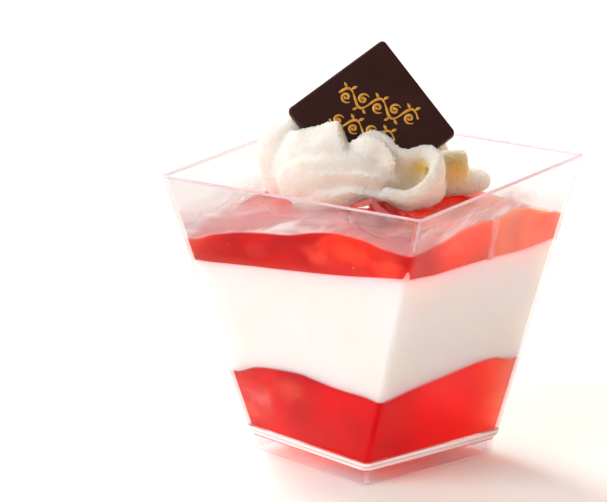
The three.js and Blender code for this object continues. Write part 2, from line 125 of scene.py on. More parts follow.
# %% Helpers for meshes
def make_piece(name, points, faces, material, crisp=50.0):
    mesh = bpy.data.meshes.new(name)
    mesh.from_pydata([TO_ROW @ Vector(p) for p in points], [], faces)
    tidy_mesh(mesh, crisp)
    mesh.materials.append(material)
    made = bpy.data.objects.new(name, mesh)
    bpy.context.scene.collection.objects.link(made)
    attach(made, "root")
    return made


def tidy_mesh(mesh, crisp):
    shell = bmesh.new()
    shell.from_mesh(mesh)
    bmesh.ops.recalc_face_normals(shell, faces=shell.faces)
    shell.to_mesh(mesh)
    shell.free()
    mesh.polygons.foreach_set("use_smooth", [True] * len(mesh.polygons))
    mesh.set_sharp_from_angle(angle=math.radians(crisp))


def loft(rings, closed_ends=True):
    """Points and faces of a skin over rings of the same length, with a fan at either end."""
    count = len(rings[0])
    points = [p for ring in rings for p in ring]
    faces = []
    for row in range(len(rings) - 1):
        for i in range(count):
            a, b = row * count + i, row * count + (i + 1) % count
            faces.append((a, b, b + count, a + count))
    if closed_ends:
        for row, ring in ((0, rings[0]), (len(rings) - 1, rings[-1])):
            middle = sum((Vector(p) for p in ring), Vector()) / count
            points.append(tuple(middle))
            for i in range(count):
                faces.append((row * count + i, row * count + (i + 1) % count, len(points) - 1))
    return points, faces


def joined(skins):
    """The points and faces of several skins as one."""
    points, faces = [], []
    for more_points, more_faces in skins:
        faces += [tuple(i + len(points) for i in face) for face in more_faces]
        points += more_points
    return points, faces


def report(made):
    mesh = made.data
    print(f"{made.name}: {len(mesh.vertices)} points, {len(mesh.polygons)} faces")


print("a closed skin over 3 rings of 8 points has", len(loft([[(0.0, 0.0, 0.0)] * 8] * 3)[1]), "faces")

# %% [markdown]
# ## The cup's form
# The cup is a square that grows and turns as it rises: its corners run straight from a small base to a wide rim that
# is turned 15.3 degrees. So the square at any height is a weighted mean of both, and one function gives it. Everything
# that fills the cup asks the same function where the wall is. `wall_spot` finds a place on a wall by how many sides
# it lies past the front corner, and later places the fruit, the bubbles and the smears.

# %% The twisted square
CUP_HEIGHT, RIM_SIDE, BASE_SIDE = 69.5, 72.0, 42.5
TWIST = math.radians(15.3)
WALL, FLOOR, FLOOR_UNDERSIDE = 1.0, 1.0, 4.7
FOOT_SIDE, FOOT_TOP, FOOT_WALL = 40.9, 3.6, 1.0
CORNER_RADIUS, INNER_RADIUS = 1.6, 1.1
SIDE_STEPS, CORNER_STEPS = 30, 8
COLUMNS = 4 * (SIDE_STEPS + CORNER_STEPS)
UP = Vector((0, 0, 1))


def square_at(z, inset):
    """Half the side of the square at a height, an inset in from the wall's outer face, and the way it is turned."""
    t = (z - FLOOR_UNDERSIDE) / (CUP_HEIGHT - FLOOR_UNDERSIDE)
    base, rim = (1 - t) * (BASE_SIDE / 2 - inset), t * (RIM_SIDE / 2 - inset)
    x, y = base * math.cos(TWIST) + rim, -base * math.sin(TWIST)
    return math.hypot(x, y), math.atan2(y, x) - DRESSED_TURN


def square_point(column, square, radius, z):
    """A point of a round-cornered square; columns run from the front corner along the right side and on round."""
    half, turn = square
    side, step = divmod(column, SIDE_STEPS + CORNER_STEPS)
    straight = half - radius
    out, along = half, straight * (2 * step / SIDE_STEPS - 1)
    if step > SIDE_STEPS:
        bend = math.pi / 2 * (step - SIDE_STEPS) / CORNER_STEPS
        out, along = straight + radius * math.cos(bend), straight + radius * math.sin(bend)
    faces = turn + side * math.pi / 2
    return out * math.cos(faces) - along * math.sin(faces), out * math.sin(faces) + along * math.cos(faces), z


def square_ring(square, radius, z):
    return [square_point(column, square, radius, z) for column in range(COLUMNS)]


def sides_passed(column):
    """How many sides of the cup lie between the front corner and a column."""
    side, step = divmod(column, SIDE_STEPS + CORNER_STEPS)
    return side + min(step / SIDE_STEPS, 1)


def wall_spot(passed, z, inset):
    """The point of a wall that many sides past the front corner, the way out through the wall and the way along."""
    side, share = int(passed) % 4, passed % 1
    half, turn = square_at(z, inset)
    along = half * (2 * share - 1)
    faces = turn + side * math.pi / 2
    return (Vector((half * math.cos(faces) - along * math.sin(faces),
                    half * math.sin(faces) + along * math.cos(faces), z)),
            Vector((math.cos(faces), math.sin(faces), 0)), Vector((-math.sin(faces), math.cos(faces), 0)))


print("half side and turn at the set cream:", square_at(50, WALL))

# %% [markdown]
# ## Clear polystyrene
# The cup is injection-moulded polystyrene, polished by its mould: hard, very clear, with an IOR of 1.59, higher than
# glass, so its rims and corners catch bright lines. Light has to reach the food inside without the noise that
# rendered glass shadows bring, so the shader stands aside for shadow rays. A share of the other rays goes straight
# through as well, or the reflections of two facing walls would veil the food. Light that runs along inside the wall
# comes out at the rim and down the corners, and it is painted in there: a little milky finish, pale mauve at the rim,
# that is painted light. The ledge at the foot, where the most light gathers, is painted white, and the fine line at
# its edge is painted in the jelly's red, for the red light that the wall carries from the jelly.

# %% Material: clear polystyrene
def polystyrene(name, colour, clear_share, roughness, straight):
    material, tree, place = start_material(name)
    flow = add(tree, "ShaderNodeMapping", {"Scale": (60.0, 60.0, 400.0)}, {"Vector": place})
    haze = add(tree, "ShaderNodeTexNoise", {"Scale": 1.0, "Detail": 3.0}, {"Vector": flow.outputs[0]})
    gloss = add(tree, "ShaderNodeMapRange", {1: 0.3, 2: 0.8, 3: roughness, 4: roughness + 0.02},
                {0: haze.outputs["Fac"]})
    plastic = add(tree, "ShaderNodeBsdfPrincipled", {
        "Base Color": hex_colour(colour), "Roughness": roughness, "IOR": 1.59,
        "Specular Tint": hex_colour("#a0a0a0"), "Transmission Weight": clear_share}, {"Roughness": gloss.outputs[0]})
    open_way = add(tree, "ShaderNodeBsdfTransparent", {"Color": hex_colour("#fbfafb")})
    ray = add(tree, "ShaderNodeLightPath")
    through = add(tree, "ShaderNodeMath", {1: straight}, {0: ray.outputs["Is Shadow Ray"]}, operation="MAXIMUM")
    mixed = add(tree, "ShaderNodeMixShader", links={
        0: through.outputs[0], 1: plastic.outputs[0], 2: open_way.outputs[0]})
    return finish_material(material, mixed)


CLEAR_PLASTIC = polystyrene("clear_polystyrene", "#ffffff", 1.0, 0.01, 0.75)
# The corner, rim, ledge and foot line finishes are painted light: light that runs inside the wall and comes out at its
# edges.
CORNER_PAINTED_LIGHT = polystyrene("polystyrene_corner_painted_light", "#fdf6fa", 0.75, 0.08, 0.1)
RIM_PAINTED_LIGHT = polystyrene("polystyrene_rim_painted_light", "#e6d6e2", 0.5, 0.12, 0.0)
LEDGE_PAINTED_LIGHT = polystyrene("polystyrene_ledge_painted_light", "#fffcfc", 0.2, 0.1, 0.0)
FOOT_LINE_PAINTED_RED = polystyrene("polystyrene_foot_edge_painted_red", "#d8203a", 0.2, 0.1, 0.0)

# %% [markdown]
# The cup itself is one skin: under the floor, down the inside of the foot, up the outside, over the rim and down the
# inside again. The rim's two edges are rounded over a quarter of a millimetre, which is what makes a moulded rim show
# as a pair of fine lines and not as one hard stripe.

# %% The cup's skin
WALL_LEVELS, ROUND_STEPS = 40, 3
RIM_ROUND, RIM_BAND, FINE_LINE = 0.25, 0.22, 0.2


def cup_rings():
    foot, turn = FOOT_SIDE / 2, square_at(FLOOR_UNDERSIDE, 0)[1]
    hollow = foot - FOOT_WALL
    rings = [square_ring((half, turn), radius, z) for half, radius, z in (
        (hollow, INNER_RADIUS, FLOOR_UNDERSIDE), (hollow, INNER_RADIUS, RIM_ROUND),
        (hollow + RIM_ROUND, INNER_RADIUS, 0), (foot - RIM_ROUND, CORNER_RADIUS, 0),
        (foot, CORNER_RADIUS, RIM_ROUND), (foot, CORNER_RADIUS, FOOT_TOP - FINE_LINE),
        (foot, CORNER_RADIUS, FOOT_TOP))]
    top, floor_top = CUP_HEIGHT - RIM_ROUND, FLOOR_UNDERSIDE + FLOOR
    levels = [floor_top + (top - RIM_BAND - floor_top) * k / WALL_LEVELS for k in range(WALL_LEVELS + 1)]
    rings += [square_ring(square_at(z, 0), CORNER_RADIUS, z)
              for z in (FLOOR_UNDERSIDE, FLOOR_UNDERSIDE + FINE_LINE, *levels, top)]
    round_edge = [(part / ROUND_STEPS, 0, 1, CORNER_RADIUS) for part in range(1, ROUND_STEPS + 1)]
    round_edge += [(1 - part / ROUND_STEPS, WALL, -1, INNER_RADIUS) for part in range(ROUND_STEPS + 1)]
    for share, face, inwards, radius in round_edge:
        bend = math.pi / 2 * share
        z, inset = top + RIM_ROUND * math.sin(bend), face + inwards * RIM_ROUND * (1 - math.cos(bend))
        rings.append(square_ring(square_at(z, inset), radius, z))
    return rings + [square_ring(square_at(z, WALL), INNER_RADIUS, z) for z in reversed(levels)]


CUP_RINGS = cup_rings()
print("the cup is a skin over", len(CUP_RINGS), "rings of", COLUMNS, "points")

# %% [markdown]
# Which finish a face of the cup has goes by its place: the ledge at the foot by its row, the rim by its height, and
# the corners by their columns. The front corner is clear up to the jelly's surface, because the food lies right
# behind it, and shows its edge of painted light only above.

# %% The cup
FRONT_CORNER, FRONT_CORNER_FROM = 3, 60.5
CLEAR, CORNER, EDGE, LEDGE, LINE = range(5)
CUP_FINISHES = (CLEAR_PLASTIC, CORNER_PAINTED_LIGHT, RIM_PAINTED_LIGHT, LEDGE_PAINTED_LIGHT, FOOT_LINE_PAINTED_RED)
LEDGE_ROWS = {5: LINE, 6: LEDGE, 7: EDGE, 8: LEDGE}
CORNER_COLUMNS = {3: CORNER, 4: EDGE}


def cup_finish(row, column, height):
    side, step = divmod(column, SIDE_STEPS + CORNER_STEPS)
    if row in LEDGE_ROWS:
        return LEDGE_ROWS[row]
    if height > CUP_HEIGHT - RIM_ROUND - RIM_BAND:
        return EDGE
    if height <= (FRONT_CORNER_FROM if side == FRONT_CORNER else FLOOR_UNDERSIDE):
        return CLEAR
    return CORNER_COLUMNS.get(step - SIDE_STEPS, CLEAR)


def build_cup():
    made = make_piece("cup_clear", *loft(CUP_RINGS), CLEAR_PLASTIC, crisp=40)
    for plastic in CUP_FINISHES[1:]:
        made.data.materials.append(plastic)
    for row, (below, above) in enumerate(zip(CUP_RINGS, CUP_RINGS[1:])):
        height = (below[0][2] + above[0][2]) / 2
        for column in range(COLUMNS):
            made.data.polygons[row * COLUMNS + column].material_index = cup_finish(row, column, height)
    return made


cup = build_cup()
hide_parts("cup")
report(cup)

# %% [markdown]
# ## Where the layers meet the wall
# The jelly was spooned in warm and set at a slant, so its edge rises and falls along each wall. A row of heights
# round the cup, from the front corner and on to the right, back and left one, is drawn through by a smooth curve.

# %% Heights of the layers at the wall
LOWER_EDGE = [
    (0.0, 21.8), (0.21, 22.9), (0.51, 24.0), (0.67, 24.5), (0.81, 24.3), (0.98, 22.6), (1.35, 23.6), (1.7, 24.2),
    (2.0, 21.6), (2.4, 23.4), (2.75, 22.6), (3.0, 20.0), (3.17, 22.5), (3.28, 23.3), (3.48, 23.9), (3.57, 23.4),
    (3.72, 22.6), (3.95, 22.2),
]
MIDDLE_EDGE = [
    (0.04, 53.4), (0.16, 52.5), (0.33, 52.0), (0.55, 51.3), (0.8, 50.2), (1.0, 50.2), (1.5, 48.4), (2.0, 47.2),
    (2.5, 47.6), (3.0, 48.3), (3.23, 49.4), (3.59, 51.1), (3.77, 52.2), (3.96, 53.6),
]
UPPER_EDGE = [
    (0.0, 59.8), (0.08, 60.0), (0.19, 60.6), (0.34, 61.9), (0.47, 61.6), (0.53, 60.9), (0.6, 61.8), (0.68, 61.5),
    (0.85, 58.6), (1.0, 56.0), (1.23, 56.7), (1.6, 58.2), (2.0, 56.0), (2.52, 57.6), (2.69, 56.6), (2.84, 56.0),
    (3.0, 53.6), (3.13, 56.1), (3.31, 58.5), (3.49, 59.7), (3.59, 61.4), (3.69, 62.2), (3.81, 61.7), (3.88, 60.6),
    (3.97, 59.9),
]


def edge_height(stations, passed):
    """The height of a layer's edge after so many sides, on a smooth closed curve through the stations."""
    passed %= 4
    count = len(stations)
    after = next((i for i, (at, _) in enumerate(stations) if at > passed), count)
    spots = [((after + k) // count * 4 + stations[(after + k) % count][0], stations[(after + k) % count][1])
             for k in (-2, -1, 0, 1)]
    (u0, z0), (u1, z1), (u2, z2), (u3, z3) = spots
    t = (passed - u1) / (u2 - u1)
    m1 = (z2 - z0) / (u2 - u0) * (u2 - u1)
    m2 = (z3 - z1) / (u3 - u1) * (u2 - u1)
    return ((2 * t**3 - 3 * t**2 + 1) * z1 + (t**3 - 2 * t**2 + t) * m1
            + (3 * t**2 - 2 * t**3) * z2 + (t**3 - t**2) * m2)


for name, line in (("lower jelly", LOWER_EDGE), ("set cream", MIDDLE_EDGE), ("upper jelly", UPPER_EDGE)):
    print(name, "at the four corners:", [round(edge_height(line, k), 1) for k in range(4)])

# %% [markdown]
# Away from the wall each surface follows the broad form of its solid: the set cream slopes up to the front, and the
# jelly on top sinks in the corners and swells over the fruit at the front. Near the wall it turns into the edge line.

# %% The layers' surfaces
LOWER_TOP, LOWER_RISE = 23.9, 0.02
CREAM_TOP, CREAM_SLOPE, CREAM_RISE = 50.0, -0.07, 0.015
UPPER_TOP, UPPER_SLOPE, UPPER_REACH, UPPER_DROPS = 59.4, -0.05, 13, (1.9, 4.0, 2.0, 6.0)
UPPER_SWELLS = [(-5, -34, 8, 1.1), (-3, -14, 8, 1.6), (24, -20, 9, 0.8), (-18, -24, 6, -0.8), (0, 6, 14, -0.8),
                (1.0, -12.2, 5.2, 3.0)]
UPPER_WAVE = 0.25


def bump(x, y, at_x, at_y, reach, height):
    return height * math.exp(-((x - at_x) ** 2 + (y - at_y) ** 2) / reach**2)


def corners_at(z):
    half, turn = square_at(z, WALL)
    reach = half * math.sqrt(2)
    turns = [turn + (k - 0.5) * math.pi / 2 for k in range(4)]
    return [(reach * math.cos(angle), reach * math.sin(angle)) for angle in turns]


UPPER_CORNERS = corners_at(UPPER_TOP)


def lower_jelly_top(x, y):
    return LOWER_TOP + LOWER_RISE * x


def set_cream_top(x, y):
    return CREAM_TOP + CREAM_SLOPE * y + CREAM_RISE * x


def upper_jelly_top(x, y):
    sunk = sum(bump(x, y, *corner, UPPER_REACH, drop) for corner, drop in zip(UPPER_CORNERS, UPPER_DROPS))
    swells = sum(bump(x, y, *swell) for swell in UPPER_SWELLS)
    wave = UPPER_WAVE * math.sin(0.45 * x + 0.2 * y) * math.cos(0.35 * y - 0.1 * x)
    return UPPER_TOP + UPPER_SLOPE * y - sunk + swells + wave


print("jelly under the rosette:", round(upper_jelly_top(0, 7), 2), "mm")

# %% [markdown]
# A layer is a stack of rings: out over the surface below it, up the wall, and in over its own surface. On the real
# dessert nothing parts the food from the plastic, so the layers reach a tenth of a millimetre into the wall.

# %% Building a layer
INTO_WALL = 0.12
SURFACE_RINGS, CROWD_OUTWARDS = 34, 1.25
SIDE_LEVELS = 12
EDGE_BAND = 0.3


def at_wall(column, z, inset=WALL - INTO_WALL):
    """The point of a column at a height, just inside the wall's plastic, or at another inset."""
    return square_point(column, square_at(z, inset), INNER_RADIUS, z)


def surface_point(surface, line, column, share, raise_by=0.0):
    """A point of a layer's surface, the given share of the way from the middle to the wall."""
    edge = edge_height(line, sides_passed(column))
    blend = max(0.0, (share - 1 + EDGE_BAND) / EDGE_BAND)
    blend = blend * blend * (3 - 2 * blend)
    z = edge
    for _ in range(3):
        x, y, _ = at_wall(column, z)
        z = (1 - blend) * surface(x * share, y * share) + blend * edge
    return x * share, y * share, z + raise_by


def surface_rings(surface, line, count, raise_by=0.0, detail=None):
    rings = []
    for k in range(1, count + 1):
        share = 1 - (1 - k / count) ** CROWD_OUTWARDS
        ring = [surface_point(surface, line, column, share, raise_by) for column in range(COLUMNS)]
        if detail:
            ring = [(x, y, z + detail(x, y, share)) for x, y, z in ring]
        rings.append(ring)
    return rings


def build_layer(name, bottom_rings, top_rings, material):
    rings = list(bottom_rings)
    low, high = bottom_rings[-1], top_rings[-1]
    for level in range(1, SIDE_LEVELS):
        rings.append([at_wall(column, low[column][2] + (high[column][2] - low[column][2]) * level / SIDE_LEVELS)
                      for column in range(COLUMNS)])
    rings += list(reversed(top_rings))
    return make_piece(name, *loft(rings), material, crisp=60)


near_wall = surface_point(upper_jelly_top, UPPER_EDGE, 0, 0.9)
print("the jelly's surface a tenth in from the front corner:", [round(c, 1) for c in near_wall])

# %% [markdown]
# ## Red fruit jelly
# The jelly is strawberry juice set with gelatine: clear but a little cloudy, IOR about 1.36. Its depth makes its
# colour. Where the light crosses a few millimetres it is orange, and through the whole cup it is a full red. A volume
# that absorbs green, and blue even more, does that by itself. The fruit's pulp scatters a share of the light, so a
# second shader, red flesh with light running through it, is mixed in, more of it at the sides, where the pulp set
# against the wall, than at the clear top. The pulp is painted paler and more orange to the right: that is painted
# light, the glow of light from behind shining through the jelly's right edge. The pulp thins out at the right end,
# and has soft, ragged patches of paler fruit. How far to the right a point lies is the dot product of its place with
# one direction. A patch is given by its sides past the front corner, its height, its reach, its colour and strength.

# %% The pulp's colour
# The pulp's tint towards the right is painted light: the steps say where its two paler reds come in.
SIDE_HEADING, SIDE_SPAN = 10, 0.032
BACKLIT_TINT_STEPS = ((0.0, 0.6), (0.62, 0.98))
FRUIT_STRETCH, FRUIT_FRAY, FRUIT_EDGE = (1.0, 1.0, 1.7), 2.2, (1.15, 2.15)


def pulp_colour(tree, place, side, pulp, patches):
    """Clouds of two reds, two paler reds towards the right that are painted light, the glow of light shining through
    from behind, and a ragged patch for each soft fruit.
    """
    cloud = add(tree, "ShaderNodeTexNoise", {"Scale": 90.0, "Detail": 3.0, "Roughness": 0.55}, {"Vector": place})
    drift = add(tree, "ShaderNodeMapRange", {1: 0.35, 2: 0.68}, {0: cloud.outputs["Fac"]}, **SMOOTH)
    flesh = add(tree, "ShaderNodeMix", {6: hex_colour(pulp[0]), 7: hex_colour(pulp[1])}, {0: drift.outputs[0]},
                data_type="RGBA")
    # Paler reds towards the right: a painted glow of the light from behind.
    for colour, (low, high) in zip(pulp[2:], BACKLIT_TINT_STEPS):
        backlit_tint = add(tree, "ShaderNodeMapRange", {1: low, 2: high}, {0: side}, **SMOOTH)
        flesh = add(tree, "ShaderNodeMix", {7: hex_colour(colour)}, {0: backlit_tint.outputs[0], 6: flesh.outputs[2]},
                    data_type="RGBA")
    torn = add(tree, "ShaderNodeTexNoise", {"Scale": 210.0, "Detail": 4.0, "Roughness": 0.6}, {"Vector": place})
    for passed, z, reach, colour, amount in patches:
        middle, metres = TO_ROW @ wall_spot(passed, z, WALL)[0], reach * MM
        away = add(tree, "ShaderNodeVectorMath", {1: middle}, {0: place}, operation="SUBTRACT")
        flat = add(tree, "ShaderNodeVectorMath", {1: FRUIT_STRETCH}, {0: away.outputs[0]}, operation="MULTIPLY")
        far = add(tree, "ShaderNodeVectorMath", links={0: flat.outputs[0]}, operation="LENGTH")
        ragged = add(tree, "ShaderNodeMath", {1: FRUIT_FRAY * metres},
                     {0: torn.outputs["Fac"], 2: far.outputs["Value"]}, operation="MULTIPLY_ADD")
        here = add(tree, "ShaderNodeMapRange", {1: FRUIT_EDGE[0] * metres, 2: FRUIT_EDGE[1] * metres,
                                                3: amount, 4: 0.0}, {0: ragged.outputs[0]}, **SMOOTH)
        flesh = add(tree, "ShaderNodeMix", {7: hex_colour(colour)}, {0: here.outputs[0], 6: flesh.outputs[2]},
                    data_type="RGBA")
    return flesh.outputs[2]


print("the palest jelly starts", round(BACKLIT_TINT_STEPS[1][0] * SIDE_SPAN / MM, 1), "mm right of the middle")

# %% [markdown]
# The rest of the jelly is a stack of shaders, each mixed over the last: the clear gel, the pulp, a share of light that
# goes straight through, a pale diffuse skin for light that bounces about, and an open way for shadow rays, so that
# the sun reaches what lies in the jelly. The last three keep the noise down. Seen from inside, through its back, the
# jelly has no pulp. The juice is a volume inside the whole.
#
# The real jelly glows where the light behind the cup shines through it. In the upper layer a translucent share of the
# pulp takes that light. In the lower one it would have to cross two clear, slanting walls and the jelly between them,
# and a path tracer doesn't find that way. So there the pulp gives out a little light in its own red, hardly any at
# the left and more at the right. It isn't a lamp: it only stands in for the light that is lost on the way.

# %% Material: fruit jelly
def fruit_jelly(name, pulp, pulp_shares, glow, depth_colour, depth, patches):
    """Pulp shares are at the left, the right, the top, and how much of the pulp is lit from behind."""
    at_left, at_right, on_top, from_behind = pulp_shares
    material, tree, place = start_material(name)
    face = add(tree, "ShaderNodeNewGeometry")
    upward = add(tree, "ShaderNodeSeparateXYZ", links={0: face.outputs["Normal"]}).outputs["Z"]
    side = add(tree, "ShaderNodeVectorMath", {1: heading(SIDE_HEADING) / SIDE_SPAN}, {0: place},
               operation="DOT_PRODUCT").outputs["Value"]
    flesh = pulp_colour(tree, place, side, pulp, patches)
    clear = add(tree, "ShaderNodeBsdfPrincipled", {
        "Base Color": hex_colour("#fff4f0"), "Roughness": 0.04, "IOR": 1.36, "Transmission Weight": 1.0,
        "Specular Tint": hex_colour("#c87068")})
    glows = add(tree, "ShaderNodeMapRange", {1: 0.0, 2: 0.4, 3: glow[0], 4: glow[1]}, {0: side}, **SMOOTH)
    cloudy = add(tree, "ShaderNodeBsdfPrincipled", {
        "Roughness": 0.1, "IOR": 1.36, "Specular IOR Level": 0.08, "Subsurface Weight": 1.0,
        "Subsurface Radius": (1.0, 0.4, 0.2), "Subsurface Scale": 0.006},
        {"Base Color": flesh, "Emission Color": flesh, "Emission Strength": glows.outputs[0]})
    lit_through = add(tree, "ShaderNodeBsdfTranslucent", links={"Color": flesh})
    cloudy = add(tree, "ShaderNodeMixShader", {0: from_behind}, {1: cloudy.outputs[0], 2: lit_through.outputs[0]})

    beside = add(tree, "ShaderNodeMapRange", {1: 0.0, 2: 0.4, 3: at_left, 4: at_right}, {0: side}, **SMOOTH)
    share = add(tree, "ShaderNodeMapRange", {1: 0.2, 2: 0.75, 4: on_top}, {0: upward, 3: beside.outputs[0]},
                **SMOOTH)
    outside = add(tree, "ShaderNodeMapRange", {1: 0.0, 2: 1.0, 3: 1.0, 4: 0.0}, {0: face.outputs["Backfacing"]},
                  **SMOOTH)
    thin_end = add(tree, "ShaderNodeMapRange", {1: 0.78, 2: 1.02, 3: 1.0, 4: 0.5}, {0: side}, **SMOOTH)
    milky = add(tree, "ShaderNodeMath", links={0: share.outputs[0], 1: outside.outputs[0]}, operation="MULTIPLY")
    milky = add(tree, "ShaderNodeMath", links={0: milky.outputs[0], 1: thin_end.outputs[0]}, operation="MULTIPLY")

    plain = add(tree, "ShaderNodeBsdfTransparent", {"Color": hex_colour("#ff8c7c")})
    calm = add(tree, "ShaderNodeMapRange", {1: 0.2, 2: 0.75, 3: 0.1, 4: 0.3}, {0: upward}, **SMOOTH)
    ray = add(tree, "ShaderNodeLightPath")
    pale = add(tree, "ShaderNodeBsdfDiffuse", {"Color": hex_colour("#f3d6cc")})
    bounce = add(tree, "ShaderNodeMath", {1: 0.75}, {0: ray.outputs["Is Diffuse Ray"]}, operation="MULTIPLY")
    open_way = add(tree, "ShaderNodeBsdfTransparent", {"Color": hex_colour("#ffc8bc")})
    body = clear
    for amount, over in ((milky.outputs[0], cloudy), (calm.outputs[0], plain), (bounce.outputs[0], pale),
                         (ray.outputs["Is Shadow Ray"], open_way)):
        body = add(tree, "ShaderNodeMixShader", links={0: amount, 1: body.outputs[0], 2: over.outputs[0]})
    juice = add(tree, "ShaderNodeVolumeAbsorption", {"Color": hex_colour(depth_colour), "Density": depth})
    return finish_material(material, body, juice)


# The last two colours of each pulp, towards the right, are painted light: the glow of light from behind shining
# through the jelly's right edge.
LOWER_JELLY = fruit_jelly(
    "strawberry_jelly", ("#c40416", "#e00c1a", "#ff0c14", "#ff5e34"), (0.62, 0.5, 0.5, 0.0), (0.03, 0.42),
    "#ff9550", 240.0, [
        (3.15, 14.0, 5.0, "#f0706c", 0.85), (3.06, 10.0, 5.0, "#ff5a2a", 0.7),
        (3.36, 18.6, 7.0, "#f2483a", 0.8), (0.95, 13.0, 7.0, "#ff7a3c", 0.8)])
UPPER_JELLY = fruit_jelly(
    "strawberry_jelly_top", ("#a41a20", "#bc2828", "#fa7a60", "#ffcca6"), (0.7, 0.76, 0.5, 0.28), (0.0, 0.0),
    "#fd8c48", 230.0, [
        (3.74, 58.0, 9.0, "#ff5636", 1.0), (3.92, 55.0, 8.0, "#f4604c", 0.8), (3.60, 55.0, 4.0, "#e4685e", 0.6),
        (3.05, 54.0, 4.0, "#e0602e", 0.4), (3.32, 54.4, 4.4, "#cc4844", 0.6), (0.3, 57.6, 7.0, "#ff8e74", 0.6),
        (0.84, 54.0, 7.0, "#ffd2ac", 0.7)])

# %% [markdown]
# ## Set cream
# Panna cotta is cream set with gelatine. It is smooth and dense, and light goes a few millimetres into it and comes
# out warmer, because it travels furthest in the red. Its surface against the plastic has hardly any pattern: a
# faint cloudiness, where it was poured.

# %% Material: set cream
def set_cream():
    material, tree, place = start_material("set_cream")
    tint = clouded(tree, place, 55.0, 4.0, ((0.3, "#fbf6ef"), (0.7, "#fefcf8")))
    body = add(tree, "ShaderNodeBsdfPrincipled", {
        "Roughness": 0.35, "IOR": 1.35, "Subsurface Weight": 1.0, "Subsurface Radius": (1.0, 0.8, 0.6),
        "Subsurface Scale": 0.006}, {"Base Color": tint})
    return finish_material(material, body)


SET_CREAM = set_cream()

# %% [markdown]
# The three layers share their surfaces. The set cream climbs in a narrow notch up the front corner, where it ran up
# behind the jelly. The jelly on top carries the small folds of a spooned gel, drawn with smooth noise.

# %% The three layers
NOTCH, NOTCH_COLUMNS = 2.4, 3.0
BROAD_FOLD, FINE_FOLD, FOLD_LIFT, FOLDS_FADE = 0.35, 0.7, 0.25, 0.08
OVERLAP, FLOOR_GAP = 0.05, 0.03


def folds_of_gel(x, y, share):
    """Swells about 6 mm across and sharp creases about 3 mm apart, which fade out just before the wall."""
    broad = noise.noise(Vector((x * 0.16, y * 0.16, 3.1)))
    fine = abs(noise.noise(Vector((x * 0.42, y * 0.30, 7.7))))
    fade = min(1.0, (1 - share) / FOLDS_FADE)
    return fade * (BROAD_FOLD * broad - FINE_FOLD * fine + FOLD_LIFT)


def notched(ring):
    """The set cream's edge, drawn up in the front corner."""
    made = []
    for column, (_, _, z) in enumerate(ring):
        step = column - (COLUMNS - CORNER_STEPS / 2)
        made.append(at_wall(column, z + NOTCH * math.exp(-((step / NOTCH_COLUMNS) ** 2))))
    return made


def flat_bottom(z, rings=3):
    edge = square_ring(square_at(z, WALL - INTO_WALL), INNER_RADIUS, z)
    return [[(x * k / rings, y * k / rings, z) for x, y, z in edge] for k in range(1, rings + 1)]


lower_top = surface_rings(lower_jelly_top, LOWER_EDGE, SURFACE_RINGS)
middle_top = surface_rings(set_cream_top, MIDDLE_EDGE, SURFACE_RINGS)
middle_top[-1] = notched(middle_top[-1])
upper_top = surface_rings(upper_jelly_top, UPPER_EDGE, 2 * SURFACE_RINGS, detail=folds_of_gel)
lower_sunk = surface_rings(lower_jelly_top, LOWER_EDGE, SURFACE_RINGS, -OVERLAP)
middle_sunk = surface_rings(set_cream_top, MIDDLE_EDGE, SURFACE_RINGS, -OVERLAP)
middle_sunk[-1] = [(x, y, z - OVERLAP) for x, y, z in middle_top[-1]]

layers = {
    "jelly_lower": build_layer("jelly_at_the_base", flat_bottom(FLOOR_UNDERSIDE + FLOOR + FLOOR_GAP), lower_top,
                               LOWER_JELLY),
    "panna_cotta": build_layer("set_cream_layer", lower_sunk, middle_top, SET_CREAM),
    "jelly_upper": build_layer("jelly_on_top", middle_sunk, upper_top, UPPER_JELLY),
}
for node_name, slot in (("jelly_lower", "red_jelly"), ("panna_cotta", "set_cream"), ("jelly_upper", "red_jelly")):
    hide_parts(node_name)
    report(layers[node_name])

# %% [markdown]
# ## Whipped cream
# The rosette came out of a nozzle as one thick ribbon that folds over itself, with a thin lip that curls round a
# hollow. Each fold is a rope: stations give its middle, half its thickness, half its height and its roll, and a
# smooth curve runs through them. The ropes are joined, the hollow is scooped out, the lip is laid on, and a voxel
# remesh makes one skin of it, as soft cream closes over its own seams.

